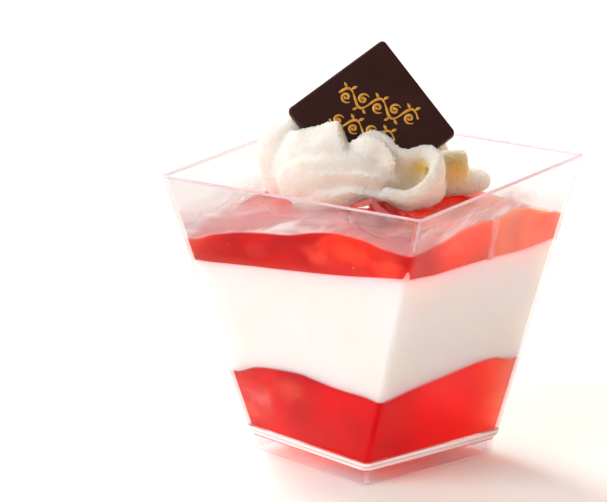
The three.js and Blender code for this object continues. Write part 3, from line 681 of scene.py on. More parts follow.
# %% The ropes of cream
FOLDS = [
    ([(-17.5, 9, 62, 7, 6.5, 0), (-8, 8, 63, 14, 9, 0), (6, 8, 63, 14, 9, 0), (17, 10, 61.5, 10, 7, 0)], 0, 1.2, 1.2),
    ([(-18, 7, 60, 6, 6.5, 0), (-19.8, 8.5, 66, 6.5, 6.5, 0), (-21, 9.5, 71.7, 6, 6.2, 0),
      (-14.4, 11, 74, 5, 6, 0)], 0, 0.8, 0.8),
    ([(-22.5, 6.5, 65, 4, 4.5, 0), (-18, 3, 68, 5, 8.2, 8), (-12.5, 1.6, 69.6, 5.5, 8.5, 8),
      (-8.6, 0.9, 70.6, 5.3, 8.8, 5), (-5.2, 0.5, 71.8, 5, 8.6, 4)], 0.7, 1, 0.05),
    ([(-21.5, 4, 64.2, 4.6, 5.6, 0), (-15, -0.5, 66.8, 5, 6, 0), (-6, -2, 68.2, 5, 5.6, 0),
      (0, -3, 66.4, 4.6, 4.6, 0), (5, -3.6, 65, 3.6, 3.6, 0)], 0, 1, 1),
    ([(-22, 2.5, 63, 3, 3, -30), (-14, -2.2, 65.6, 2.8, 4.8, -52), (-6, -4.2, 66.8, 2.8, 5, -56),
      (0, -5, 66.4, 2.7, 4.6, -56), (3.4, -5.6, 65.2, 2.4, 3.4, -40)], 1, 1, 1),
    ([(-19, -0.5, 61, 3, 2, 0), (-11, -3.6, 62.4, 2.6, 4.2, -62), (-4.5, -5, 63.4, 2.6, 4.6, -66),
      (0.5, -5.6, 62.8, 2.6, 4.2, -70), (5, -6.4, 61.8, 2.5, 2.4, -60)], 1, 1, 1),
    ([(-6.4, 0, 65, 4.4, 4.2, 0), (-3.9, -0.4, 69.6, 4, 5, 0), (-1.6, -0.8, 72, 3.6, 4.6, 0),
      (0.6, -1.2, 72.2, 3.2, 4, 0), (2.6, -2.2, 71.6, 2.8, 3.2, 0), (4.4, -3.8, 70.9, 2, 2.3, 0),
      (5.5, -5.1, 70.2, 1.1, 1.3, 0)], 0.6, 1, 0.6),
    ([(-5, -1, 66, 4, 5, 0), (0, -3, 67, 4.4, 4.2, 0), (3.6, -4.4, 65.4, 3.2, 3.2, 0)], 0, 1, 1),
    ([(-4, 2.4, 68, 4, 7.4, 0), (1, 2.2, 68.6, 3.6, 6.8, 0), (6, 1.6, 66.5, 4, 5.4, 0), (11, 3, 65.8, 5, 6, 0),
      (14, 3, 65.8, 4.4, 6, 0)], 0, 1, 1),
    ([(12, 6, 63, 4, 4.6, 0), (10.2, 1.4, 61.8, 3.6, 3.2, 0), (7, -2, 61, 3.6, 3, 0), (3, -3.5, 61.5, 4, 3, 0)],
     0, 1, 1),
    ([(10, 8, 63, 5, 5.6, 0), (13.4, 10, 63.4, 4.6, 5, 0), (16, 12, 63, 4.2, 4.6, 0)], 0, 1, 1),
    ([(13, 11, 64.4, 4.6, 5, 0), (18.5, 11.4, 65.6, 4.2, 4.4, 0), (22.2, 12, 65.6, 3.6, 4.1, 0)], 0.3, 1, 0.35),
    ([(13, 12, 61.6, 3.4, 3.4, 0), (18, 11.6, 62, 3.6, 3.3, 0), (22, 12.8, 62, 3.8, 3, 0),
      (24.6, 16, 61.7, 3, 2.6, 0), (17, 20, 61.9, 4, 3, 0)], 0.6, 1, 1),
    ([(-21, 10, 63, 4.5, 6, 0), (-20, 15.5, 66, 4.6, 7.4, 0), (-14, 19.5, 68, 4.8, 8.4, 8),
      (-7.5, 20.2, 69.2, 4.6, 8.6, 8)], 0.9, 1, 0.12),
    ([(-10, 16, 67, 4.5, 6, 0), (-4.5, 19.2, 68.4, 4.6, 7.4, 6), (1.5, 20, 69.4, 4.4, 7.2, 6),
      (5, 19.6, 67.5, 3.6, 5.6, 0)], 0.9, 1, 0.3),
    ([(1, 16, 66, 4.5, 6, 0), (7, 18.6, 67.2, 4.6, 7.2, 6), (12.6, 18, 66.4, 4.4, 6.4, 6),
      (17, 15.6, 64.8, 3.8, 5, 0)], 0.9, 1, 0.5),
    ([(-21, 14, 62, 4, 3, 0), (-15, 20.6, 63, 4, 3, 12), (-5, 23.2, 63.6, 4.2, 3.2, 15),
      (5, 23.6, 63.4, 4.2, 3.2, 15), (14, 20.8, 62.8, 4, 3, 12), (19, 16, 62, 3.5, 3, 0)], 0.8, 1, 1),
]
SCOOPS = [
    ([(-1, 0.9, 79.2, 0.8, 1.6, 0), (1.4, 0.3, 76.4, 1.2, 2.2, 0), (3.6, -0.9, 73.8, 1.6, 2.6, 0),
      (6.6, -3.4, 70.6, 2.6, 3, 0), (9.6, -3.9, 68.2, 4.1, 4.3, 0), (9.4, -4.9, 66.8, 4.3, 4.1, 0),
      (6.4, -6.8, 65.8, 3, 2.7, 0), (2.2, -8.6, 65.8, 1.8, 1.6, 0), (-2, -10, 66.6, 0.9, 0.9, 0)], 0, 0.6, 0.6),
]
LIPS = [
    ([(-3.2, 1.8, 73.6, 1.2, 1.8, 0), (-1, 2.1, 75.2, 1.2, 1.9, 0), (1.2, 1.9, 75.2, 1.2, 1.9, 0),
      (3.2, 1.2, 73.9, 1.2, 1.8, 0), (5, 0.2, 72.4, 1.3, 1.7, 0), (8, 0.2, 71.4, 1.4, 1.8, 0),
      (11, 0.8, 71.6, 1.6, 2.2, 0), (13.4, 0.2, 71.4, 1.8, 2.6, 0), (14.7, -1.4, 69.4, 1.9, 2.8, 0),
      (14.3, -3.8, 67, 1.9, 2.8, 0), (12.4, -6, 65.1, 1.9, 2.5, 0), (9.8, -7.6, 64, 1.8, 2.1, 0),
      (7, -8.4, 63.6, 1.8, 1.9, 0), (4.2, -8.2, 64.2, 1.6, 1.7, 0), (1.8, -7.4, 65, 1.4, 1.5, 0)], 0.3, 1, 1),
]
print(len(FOLDS), "folds,", len(SCOOPS), "scoop,", len(LIPS), "lip")

# %% [markdown]
# Round each station the rope has a ring that stands square to its way. Where a fold has a crest, the ring's upper half
# narrows, which turns a round rope into a drawn-up ridge. An end is rounded off, or cut blunt where other cream hides
# it. A rope is turned into a skin by the same loft as the cup.

# %% Building a rope
ROPE_STEPS, ROPE_SIDES = 8, 24
CLOSING, CREST_DEPTH, CLOSED = 0.8, 0.85, 0.02


def smooth_stations(stations, steps):
    """Rows on a smooth curve through the stations, each with all the values that a station has."""
    rows = []
    spots = [stations[0], *stations, stations[-1]]
    for before, a, b, after in zip(spots, spots[1:], spots[2:], spots[3:]):
        for step in range(steps):
            t = step / steps
            rows.append([0.5 * (2 * q + (r - p) * t + (2 * p - 5 * q + 4 * r - s) * t**2
                                + (3 * q - p - 3 * r + s) * t**3) for p, q, r, s in zip(before, a, b, after)])
    return rows + [list(stations[-1])]


def openness(distance, closing):
    near = max(0.0, 1 - distance / closing) if closing else 0.0
    return math.sqrt(1 - near * near)


def build_rope(rope):
    stations, crest, blunt_start, blunt_end = rope
    rows = smooth_stations(stations, ROPE_STEPS)
    middles = [Vector(row[:3]) for row in rows]
    lengths = [0.0]
    for a, b in zip(middles, middles[1:]):
        lengths.append(lengths[-1] + (b - a).length)
    rings = []
    for i, (*_, thick, high, roll) in enumerate(rows):
        ahead = (middles[min(i + 1, len(rows) - 1)] - middles[max(i - 1, 0)]).normalized()
        side = ahead.cross(UP).normalized()
        up = side.cross(ahead).normalized()
        size = CLOSING * max(thick, high)
        scale = openness(lengths[i], blunt_start * size) * openness(lengths[-1] - lengths[i], blunt_end * size)
        scale, roll = max(scale, CLOSED), math.radians(roll)
        ring = []
        for k in range(ROPE_SIDES):
            angle = 2 * math.pi * k / ROPE_SIDES
            across = thick * math.cos(angle) * (1 - CREST_DEPTH * crest * max(0.0, math.sin(angle)) ** 2)
            rise = high * math.sin(angle)
            flat = across * math.cos(roll) - rise * math.sin(roll)
            lift = across * math.sin(roll) + rise * math.cos(roll)
            ring.append(tuple(middles[i] + scale * (flat * side + lift * up)))
        rings.append(ring)
    return loft(rings)


print("the first fold is a rope of", len(build_rope(FOLDS[0])[0]), "points")

# %% [markdown]
# Real whipped cream isn't smooth. It has a fine torn grain, roughest on the crests that the nozzle drew last. So each
# point's convexity is measured against its neighbours, and noise is pushed out along the normals, a little everywhere
# and much more on the crests, where it frays them. At the right end, where the nozzle was drawn away, a soft ball of
# the same noise makes froth of the whole tip. The points also keep how much warm yellow is painted there: painted
# warm shade in the hollows, and a painted glow where light shines through the cream.

# %% Crests and froth
NEIGHBOUR_ROUNDS = 8
SWELLS = ((0.28, 0.22, 0), (0.9, 0.10, 0), (2.6, 0.05, 0))
TEARS, TEAR_BACK = ((2.1, 0.7, 9), (3.8, 0.8, 0)), 0.1
CREST_FROM, CREST_SPAN, FRAY = 0.03, 0.09, 0.55
FROTH_AT, FROTH_REACH = Vector((21.5, 13.5, 61.4)), 3.4
# Spots of painted warm shade and glow: a place, its reach and its strength.
WARM_SHADE_AND_GLOW = [((11.2, 0.2, 68.8), 1.9, 1.0), ((8.2, 0.0, 68.2), 3.0, 0.35), ((19.5, 8.2, 66.2), 4.0, 1.0),
          ((9.0, -2.5, 65.4), 3.6, 0.2), ((6.0, -5.0, 64.0), 2.2, 0.15)]


def crests(mesh, rounds):
    """How far each point stands out from its evened-out neighbours, in millimetres, with the points and normals."""
    count = len(mesh.vertices)
    edges = np.empty(2 * len(mesh.edges), np.int64)
    mesh.edges.foreach_get("vertices", edges)
    a, b = edges.reshape(-1, 2).T
    where, normals = np.empty(3 * count), np.empty(3 * count)
    mesh.vertices.foreach_get("co", where)
    mesh.vertices.foreach_get("normal", normals)
    where, normals = where.reshape(-1, 3), normals.reshape(-1, 3)
    around = np.bincount(a, minlength=count) + np.bincount(b, minlength=count)
    spread = where
    for _ in range(rounds):
        spread = np.stack([(np.bincount(a, spread[b, k], count) + np.bincount(b, spread[a, k], count)) / around
                           for k in range(3)], axis=1)
    return where, normals, ((where - spread) * normals).sum(axis=1)


def rough(at, layers_of_noise):
    """Noise at a point, layer on layer, each with its waves per millimetre, its height and a shift."""
    return sum(height * noise.noise(at * waves + Vector((shift, 0, 0))) for waves, height, shift in layers_of_noise)


def roughen(made):
    """Pushes the points out along their normals: a little by the swells, and by the tears where a crest frays."""
    where, normals, crest = crests(made.data, NEIGHBOUR_ROUNDS)
    for k, (at, out) in enumerate(zip(where, crest)):
        at = Vector(at)
        froth = math.exp(-((at - FROTH_AT).length / FROTH_REACH) ** 2)
        share = min(1.0, max(0.0, (out - CREST_FROM) / CREST_SPAN) + froth)
        where[k] += normals[k] * (rough(at, SWELLS) + share * FRAY * (rough(at, TEARS) - TEAR_BACK))
    made.data.vertices.foreach_set("co", where.ravel())
    made.data.update()
    # The spots of painted warm shade and glow are kept on the points.
    warmth_painted = sum(amount * np.exp(-((where - np.array(at)) ** 2).sum(axis=1) / reach**2)
               for at, reach, amount in WARM_SHADE_AND_GLOW)
    made.data.attributes.new("painted_warm_shade_glow", "FLOAT", "POINT").data.foreach_set("value", np.minimum(warmth_painted, 1.0))
    print("crests stand out by up to", round(float(crest.max()), 3), "mm")


# These spots are painted warm shade and glow.
print(len(WARM_SHADE_AND_GLOW), "spots of richer cream")

# %% [markdown]
# The rosette is built in millimetres. The folds and the scoop are each remeshed into a closed skin, so that one can be
# cut out of the other, then the lip is laid on, and a finer remesh joins all. At last the cream is settled on the
# jelly: whatever would hang below the jelly's surface is pressed up to just under it.

# %% The rosette
CREAM_VOXEL, FOLD_VOXEL, SCOOP_VOXEL = 0.285, 0.45, 0.4
SUNK = 0.35


def join_ropes(name, ropes):
    """One object that holds several ropes as separate skins, in millimetres."""
    points, faces = joined(build_rope(rope) for rope in ropes)
    mesh = bpy.data.meshes.new(name)
    mesh.from_pydata(points, [], faces)
    tidy_mesh(mesh, 180)
    made = bpy.data.objects.new(name, mesh)
    bpy.context.scene.collection.objects.link(made)
    return made


def bake_modifier(made, kind, **settings):
    """Adds a modifier, and keeps its result as the object's mesh."""
    modifier = made.modifiers.new(kind.lower(), kind)
    for name, value in settings.items():
        setattr(modifier, name, value)
    ready = made.evaluated_get(bpy.context.evaluated_depsgraph_get())
    mesh = bpy.data.meshes.new_from_object(ready)
    made.modifiers.clear()
    made.data = mesh


def settle(made):
    for v in made.data.vertices:
        x, y, z = v.co
        v.co.z = max(z, upper_jelly_top(x, y) - SUNK)


def build_cream():
    cream = join_ropes("cream_folds", FOLDS)
    scoop = join_ropes("cream_scoop", SCOOPS)
    bake_modifier(cream, "REMESH", mode="VOXEL", voxel_size=FOLD_VOXEL)
    bake_modifier(scoop, "REMESH", mode="VOXEL", voxel_size=SCOOP_VOXEL)
    bake_modifier(cream, "BOOLEAN", operation="DIFFERENCE", object=scoop, solver="EXACT")
    lips = join_ropes("cream_lip", LIPS)
    merged = bmesh.new()
    merged.from_mesh(cream.data)
    merged.from_mesh(lips.data)
    merged.to_mesh(cream.data)
    merged.free()
    for spare in (scoop, lips):
        bpy.data.objects.remove(spare)
    bake_modifier(cream, "REMESH", mode="VOXEL", voxel_size=CREAM_VOXEL)
    bake_modifier(cream, "SMOOTH", factor=0.5, iterations=3)
    roughen(cream)
    settle(cream)
    cream.data.transform(TO_ROW)
    cream.data.polygons.foreach_set("use_smooth", [True] * len(cream.data.polygons))
    cream.name = cream.data.name = "cream_rosette"
    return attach(cream, "root")


rosette = build_cream()
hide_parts("whipped_cream")
report(rosette)

# %% [markdown]
# Whipped cream is fat and air. It scatters light within a millimetre or two, a little further in red, and light that
# bounces about in a hollow takes on more of its butter yellow each time, so the hollows turn warm by themselves. Its
# grain of air cells, about 0.2 mm, is drawn twice as coarse to show. In the curl, and behind it at the right, a
# warm yellow is painted in as well: painted warm shade in the hollows of the curl, and a painted glow in the lump at
# the right, where light from behind shines through it. How much of it there is was kept on the mesh's points, as a
# soft spot round a few places.

# %% Material: whipped cream
def whipped_cream():
    material, tree, place = start_material("whipped_cream")
    grain = add(tree, "ShaderNodeTexNoise", {"Scale": 1500.0, "Detail": 4.0, "Roughness": 0.65}, {"Vector": place})
    relief = add(tree, "ShaderNodeBump", {"Strength": 0.85, "Distance": 0.0006}, {"Height": grain.outputs["Fac"]})
    pores = clouded(tree, place, 420.0, 3.0, ((0.3, "#f9efe6"), (0.6, "#fdf6f0")))
    # The yellow mixed in here is painted light: warm shade in the hollows and a glow where light shines through.
    warmth_painted = add(tree, "ShaderNodeAttribute", attribute_name="painted_warm_shade_glow")
    shade = add(tree, "ShaderNodeMix", {7: hex_colour("#ffd978")}, {0: warmth_painted.outputs["Fac"], 6: pores},
                data_type="RGBA")
    body = add(tree, "ShaderNodeBsdfPrincipled", {
        "Roughness": 0.5, "IOR": 1.35, "Subsurface Weight": 1.0,
        "Subsurface Radius": (1.0, 0.8, 0.5), "Subsurface Scale": 0.0024},
        {"Base Color": shade.outputs[2], "Normal": relief.outputs["Normal"]})
    return finish_material(material, body)


rosette.data.materials.append(whipped_cream())

# %% [markdown]
# ## The chocolate square
# A thin square of dark chocolate, cast in a mould and printed with gold. Its face is flat, its edges are rounded over
# half a millimetre, and it stands on one corner and leans back. Dark chocolate is cocoa solids in cocoa butter, IOR
# about 1.45. A polished mould leaves it satin, not glossy, with faint clouds where the butter set unevenly.

# %% Material: dark chocolate
def dark_chocolate():
    material, tree, place = start_material("dark_chocolate")
    tint = clouded(tree, place, 120.0, 5.0, ((0.3, "#2c100d"), (0.75, "#361815")))
    grain = add(tree, "ShaderNodeTexNoise", {"Scale": 2600.0, "Detail": 3.0}, {"Vector": place})
    relief = add(tree, "ShaderNodeBump", {"Strength": 0.15, "Distance": 0.0001}, {"Height": grain.outputs["Fac"]})
    body = add(tree, "ShaderNodeBsdfPrincipled", {"Roughness": 0.36, "IOR": 1.45, "Specular IOR Level": 0.3},
               {"Base Color": tint, "Normal": relief.outputs["Normal"]})
    return finish_material(material, body)


DARK_CHOCOLATE = dark_chocolate()

# %% [markdown]
# The square is lofted through rings: each is a square with rounded corners, drawn in and down over the edges. It is
# made flat, and one matrix then turns it on its corner, leans it back and sets it in the cream.

# %% The chocolate square
SQUARE_SIDE, SQUARE_THICK, SQUARE_CORNER, SQUARE_EDGE = 28.3, 3.0, 1.25, 0.55
SQUARE_AT = Vector((-0.55, 6.3, 77.9))
SQUARE_LEAN, SQUARE_TURN = math.radians(27), math.radians(37)
SQUARE_PLACE = (Matrix.Translation(SQUARE_AT) @ Matrix.Rotation(math.pi / 2 - SQUARE_LEAN, 4, "X")
                @ Matrix.Rotation(SQUARE_TURN, 4, "Z"))
TIGHTEST_CORNER = 0.4


def rounded_square(half, radius, z, steps=10, along=12):
    ring = []
    for quarter in range(4):
        for k in range(steps + 1):
            angle = math.pi / 2 * k / steps
            x, y = half - radius + radius * math.cos(angle), half - radius + radius * math.sin(angle)
            ring.append(Matrix.Rotation(quarter * math.pi / 2, 3, "Z") @ Vector((x, y, z)))
        start, end = ring[-1], Matrix.Rotation((quarter + 1) * math.pi / 2, 3, "Z") @ Vector((half, half - radius, z))
        ring += [start.lerp(end, k / along) for k in range(1, along)]
    return ring


def build_square():
    half, deep = SQUARE_SIDE / 2, SQUARE_THICK / 2
    profile = [(deep, 5 * SQUARE_EDGE), (deep, 2 * SQUARE_EDGE), (deep, SQUARE_EDGE)]
    profile += [(deep - SQUARE_EDGE * (1 - math.cos(a)), SQUARE_EDGE * (1 - math.sin(a)))
                for a in (math.pi / 8 * k for k in range(1, 5))]
    profile += [(-z, inset) for z, inset in reversed(profile)]
    rings = [rounded_square(half - inset, max(SQUARE_CORNER - inset, TIGHTEST_CORNER), z) for z, inset in profile]
    points, faces = loft([[tuple(SQUARE_PLACE @ p) for p in ring] for ring in rings])
    return make_piece("chocolate_plaque", points, faces, DARK_CHOCOLATE, crisp=70)


plaque = build_square()
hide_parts("chocolate_square")
report(plaque)

# %% [markdown]
# The square carries a gold print. Here it is a plain scroll-and-leaf ornament in two rows that run down to the right:
# a waving stem with curls and leaves. Each stroke is a ribbon with a pen's swelling width, a tenth of a millimetre
# proud of the chocolate, as cocoa butter colour is when it is screened on.

# %% The pen's strokes
PRINT_TILT = math.radians(-19)
PRINT_RISE, PRINT_ROOT = 0.1, -0.2
RIBBON = [(1, PRINT_ROOT), (1, PRINT_RISE * 0.5), (0.5, PRINT_RISE), (-0.5, PRINT_RISE), (-1, PRINT_RISE * 0.5),
          (-1, PRINT_ROOT)]


def print_spot(along, across, rise):
    """A point of the square's front face: along the print's rows and across them from the square's middle."""
    flat = Matrix.Rotation(PRINT_TILT - SQUARE_TURN, 3, "Z") @ Vector((along, across, 0))
    return tuple(SQUARE_PLACE @ (flat + Vector((0, 0, SQUARE_THICK / 2 + rise))))


def curl(middle, start_radius, end_radius, start, turns, steps=34):
    spots = []
    for k in range(steps + 1):
        t = k / steps
        angle = start + turns * 2 * math.pi * t
        radius = start_radius + (end_radius - start_radius) * t ** 0.8
        spots.append((middle[0] + radius * math.cos(angle), middle[1] + radius * math.sin(angle)))
    return spots


def stroke(spots, widths):
    """Rings of a ribbon along the spots, with a half width for each."""
    rings = []
    for k, ((x, y), wide) in enumerate(zip(spots, widths)):
        before, after = spots[max(k - 1, 0)], spots[min(k + 1, len(spots) - 1)]
        way = Vector((after[0] - before[0], after[1] - before[1])).normalized()
        left = Vector((-way.y, way.x)) * wide
        rings.append([print_spot(x + left.x * side, y + left.y * side, rise) for side, rise in RIBBON])
    return rings


def swelling(count, thin, thick, peak=0.5):
    """Half widths that grow from thin to thick and back, thickest at the peak's share of the way."""
    return [thin + (thick - thin) * math.sin(math.pi * (k / (count - 1)) ** (math.log(0.5) / math.log(peak)))
            for k in range(count)]


print("a curl has", len(stroke(curl((0, 0), 1, 0.2, 0, 1.25), [0.2] * 35)), "rings")

# %% [markdown]
# A row of the ornament is its stem, a plain wave, with a curl and its round tip in each hollow and a pair of leaves at
# each. Gold food colour is mica flakes coated to look like gold, in cocoa butter: about half metallic, and satin.

# %% The gold ornament
PRINT_ROWS = [((0.4, 4.0), 19.5, 5, 3.6, 1), ((-1.4, -2.6), 16.0, 4, 3.4, -1)]


def scroll_row(middle, length, hollows, height, flip):
    """A waving stem with a curl in each hollow and two leaves at each, as strokes of spots and half widths."""
    steps = 24 * hollows
    wave = [((k / steps - 0.5) * length,
             flip * height * 0.5 * math.sin(math.pi * hollows * k / steps)) for k in range(steps + 1)]
    pen = [0.16 + 0.16 * abs(math.sin(math.pi * hollows * k / steps + 0.6)) for k in range(steps + 1)]
    strokes = [(wave, pen)]
    for number in range(hollows):
        side = flip * (1 if number % 2 == 0 else -1)
        at = (number + 0.5) / hollows - 0.5
        inside = (at * length, side * height * -0.12)
        turn = curl(inside, height * 0.40, height * 0.07, math.pi / 2 * side - side * 2.2, -side * 1.25)
        strokes.append((turn, swelling(len(turn), 0.12, 0.3, 0.4)))
        strokes.append((curl(turn[-1], 0.05, 0.2, 0, 1.0, 12), [0.24] * 13))
        for lean in (-0.55, 0.55):
            root = (at * length + lean * 1.1, side * height * 0.50)
            leaf = [(root[0] + lean * 1.9 * t, root[1] + side * (1.5 * t - 0.5 * t * t))
                    for t in (k / 10 for k in range(11))]
            strokes.append((leaf, swelling(11, 0.03, 0.34, 0.45)))
    return [([(x + middle[0], y + middle[1]) for x, y in spots], widths) for spots, widths in strokes]


def gold_print():
    material, tree, place = start_material("gold_print")
    tint = clouded(tree, place, 900.0, 3.0, ((0.3, "#c98a2c"), (0.7, "#ecb954")))
    body = add(tree, "ShaderNodeBsdfPrincipled", {"Metallic": 0.55, "Roughness": 0.42}, {"Base Color": tint})
    return finish_material(material, body)


strokes = [loft(stroke(*one)) for row in PRINT_ROWS for one in scroll_row(*row)]
ornament = make_piece("gold_ornament", *joined(strokes), gold_print(), crisp=60)
report(ornament)

# %% [markdown]
# ## The piece of strawberry
# The fruit that breaks the jelly's surface at the front is a knife-cut piece, glazed with jelly. Its flesh is mostly
# water, so light wanders a few millimetres in it and comes out red. The glaze is a clear coat with a ripple of its
# own, which breaks its shine into glints. The same flesh without a glaze serves for the fruit in the jelly. There it
# lets shadow rays pass, in its own colour, because wet fruit inside a jelly dims the light but throws no hard shadow.

# %% Material: strawberry flesh
def strawberry_flesh(name, outer, inner, scale, wet):
    material, tree, place = start_material(name)
    tint = clouded(tree, place, scale, 3.0, ((0.4, outer), (0.7, inner)))
    ripple = add(tree, "ShaderNodeTexNoise", {"Scale": 420.0, "Detail": 2.0}, {"Vector": place})
    relief = add(tree, "ShaderNodeBump", {"Strength": 0.5, "Distance": 0.0006}, {"Height": ripple.outputs["Fac"]})
    body = add(tree, "ShaderNodeBsdfPrincipled", {
        "Roughness": 0.3 if wet else 0.6, "IOR": 1.1 if wet else 1.02, "Subsurface Weight": 1.0,
        "Subsurface Radius": (1.0, 0.3, 0.2), "Subsurface Scale": 0.003, "Coat Weight": 0.7 if wet else 0.0,
        "Coat Roughness": 0.02}, {"Base Color": tint, "Coat Normal": relief.outputs["Normal"]})
    if wet:
        return finish_material(material, body)
    ray = add(tree, "ShaderNodeLightPath")
    open_way = add(tree, "ShaderNodeBsdfTransparent", {"Color": hex_colour("#ffa890")})
    mixed = add(tree, "ShaderNodeMixShader", links={
        0: ray.outputs["Is Shadow Ray"], 1: body.outputs[0], 2: open_way.outputs[0]})
    return finish_material(material, mixed)


GLAZED_BERRY = strawberry_flesh("glazed_strawberry", "#900306", "#b80a06", 260.0, True)
SUNK_FLESH = strawberry_flesh("strawberry_flesh", "#ff6a40", "#ffa088", 150.0, False)
PALE_FLESH = strawberry_flesh("pale_strawberry_flesh", "#ffa8a0", "#ffd0c8", 260.0, False)
EDGE_FLESH = strawberry_flesh("strawberry_flesh_edge", "#ff806a", "#ffa890", 200.0, False)

# %% [markdown]
# The piece starts as a ball, drawn out to a berry's taper and made a little lumpy. Each knife cut presses what stands
# beyond a plane down onto it, but not quite flat, because cut fruit bulges a little.

# %% The strawberry piece
BERRY_AT = Vector((-0.2, -14.4, 60.8))
BERRY_SIZE, BERRY_TAPER, BERRY_LUMPS = Vector((6.2, 8.6, 4.4)), 0.22, 0.05
BERRY_TURN = math.radians(24)
BERRY_CUTS = [(math.radians(34), math.radians(62), 3.1), (math.radians(16), math.radians(-128), 3.9)]
CUT_FLATNESS = 0.96


def ball(subdivisions):
    """The points and faces of an even ball of radius 1."""
    body = bmesh.new()
    bmesh.ops.create_icosphere(body, subdivisions=subdivisions, radius=1.0)
    points, faces = [v.co.copy() for v in body.verts], [tuple(v.index for v in f.verts) for f in body.faces]
    body.free()
    return points, faces


def cut_berry():
    points, faces = ball(5)
    for k, at in enumerate(points):
        taper = 1 - BERRY_TAPER * at.y
        wave = 1 + BERRY_LUMPS * noise.noise(at * 2.1 + Vector((1, 0, 0)))
        points[k] = Vector((at.x * BERRY_SIZE.x * taper, at.y * BERRY_SIZE.y, at.z * BERRY_SIZE.z * taper)) * wave
    for tilt, way, depth in BERRY_CUTS:
        out = Matrix.Rotation(way, 3, "Z") @ Matrix.Rotation(tilt, 3, "X") @ UP
        points = [at - out * max(0.0, at.dot(out) - depth) * CUT_FLATNESS for at in points]
    turned = Matrix.Rotation(BERRY_TURN, 3, "Z")
    return make_piece("strawberry_glazed", [BERRY_AT + turned @ at for at in points], faces, GLAZED_BERRY, crisp=35)


berry = cut_berry()
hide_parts("strawberry_piece")
report(berry)

# %% [markdown]
# ## Fruit sunk in the jelly
# Pieces of strawberry lie in both layers of jelly, close to the wall, where they show as lighter, softer patches. The
# flesh is orange-red, and pale where it was nearer the middle of the fruit. Each is a lump cut off by the wall, so it
# is placed by how many sides past the front corner it lies, and by its height.

# %% Fruit in the jelly
SUNK_FRUIT = [
    ("sunk_fruit_front", 3.755, 57.3, (6.0, 11.5, 4.6), 0, SUNK_FLESH),
    ("sunk_fruit_front_edge", 3.65, 54.6, (4.6, 7.6, 2.0), -18, EDGE_FLESH),
    ("sunk_fruit_right", 0.36, 56.6, (6.0, 10.0, 4.4), 8, SUNK_FLESH),
    ("sunk_fruit_right_end", 0.86, 54.2, (6.0, 8.0, 3.6), 4, SUNK_FLESH),
    ("sunk_fruit_back_right", 1.45, 53.6, (6.0, 10.0, 4.0), 0, SUNK_FLESH),
    ("sunk_fruit_back_left", 2.35, 52.6, (4.0, 7.0, 2.8), 0, PALE_FLESH),
    ("base_fruit_front", 3.19, 13.8, (3.0, 2.9, 4.0), 10, PALE_FLESH),
    ("base_fruit_left", 3.4, 18.6, (4.5, 5.0, 3.2), 0, SUNK_FLESH),
    ("base_fruit_back_right", 1.4, 14.5, (4.5, 6.5, 5.0), 0, SUNK_FLESH),
    ("base_fruit_back_left", 2.6, 13.0, (4.5, 6.5, 5.0), 0, SUNK_FLESH),
]
FRUIT_GAP, WALL_LEAN = 0.25, math.tan(math.radians(12.8))
FRUIT_LUMPS, FRUIT_GRAIN, CUT_BULGE = 0.2, 0.09, 0.04


def wall_lump(name, passed, z, size, tilt, material, seed):
    """A lump of fruit that lies against the wall; size is its depth, half length and half height."""
    at, outward, along = wall_spot(passed, z, WALL + FRUIT_GAP)
    depth, long, high = size
    points, faces = ball(4)
    for k, spot in enumerate(points):
        wave = (1 + FRUIT_LUMPS * noise.noise(spot * 1.4 + Vector((seed * 3.7, 0, 0)))
                + FRUIT_GRAIN * noise.noise(spot * 4))
        x, y, w = spot * wave
        x = min(x, 0.0) + max(x, 0.0) * CUT_BULGE
        y, w = (y * math.cos(tilt) - w * math.sin(tilt) * high / long,
                w * math.cos(tilt) + y * math.sin(tilt) * long / high)
        points[k] = at + outward * (x * depth + WALL_LEAN * w * high) + along * y * long + UP * w * high
    return make_piece(name, points, faces, material, crisp=60)


for number, (name, passed, z, size, tilt, material) in enumerate(SUNK_FRUIT):
    wall_lump(name, passed, z, size, math.radians(tilt), material, number)
print(len(SUNK_FRUIT), "pieces of fruit in the jelly")

# %% [markdown]
# Small air bubbles stayed in the jelly when it set, and strawberry seeds came loose in it. A bubble in jelly bends
# light the other way than a drop does, so its IOR is 1 / 1.36. Seeds are teardrops 1.3 mm long.

# %% Materials: air and seed
def air_bubble():
    material, tree, place = start_material("air_bubble")
    cloud = add(tree, "ShaderNodeTexNoise", {"Scale": 700.0}, {"Vector": place})
    skin = add(tree, "ShaderNodeMapRange", {1: 0.3, 2: 0.7, 3: 0.0, 4: 0.06}, {0: cloud.outputs["Fac"]})
    air = add(tree, "ShaderNodeBsdfPrincipled", {
        "Base Color": hex_colour("#fff6f2"), "IOR": 0.735, "Transmission Weight": 1.0}, {"Roughness": skin.outputs[0]})
    return finish_material(material, air)


def strawberry_seed():
    material, tree, place = start_material("strawberry_seed")
    tint = clouded(tree, place, 900.0, 2.0, ((0.0, "#8a2412"), (1.0, "#c4641e")))
    return finish_material(material, add(tree, "ShaderNodeBsdfPrincipled", {"Roughness": 0.3, "IOR": 1.45},
                                         {"Base Color": tint}))


AIR, SEED_SKIN = air_bubble(), strawberry_seed()

# %% [markdown]
# Bubbles and seeds are the same small ball, drawn long for a seed and narrower at one end. All bubbles are one piece
# and all seeds another. Each sits by the wall, where it shows, and has its own size or turn.

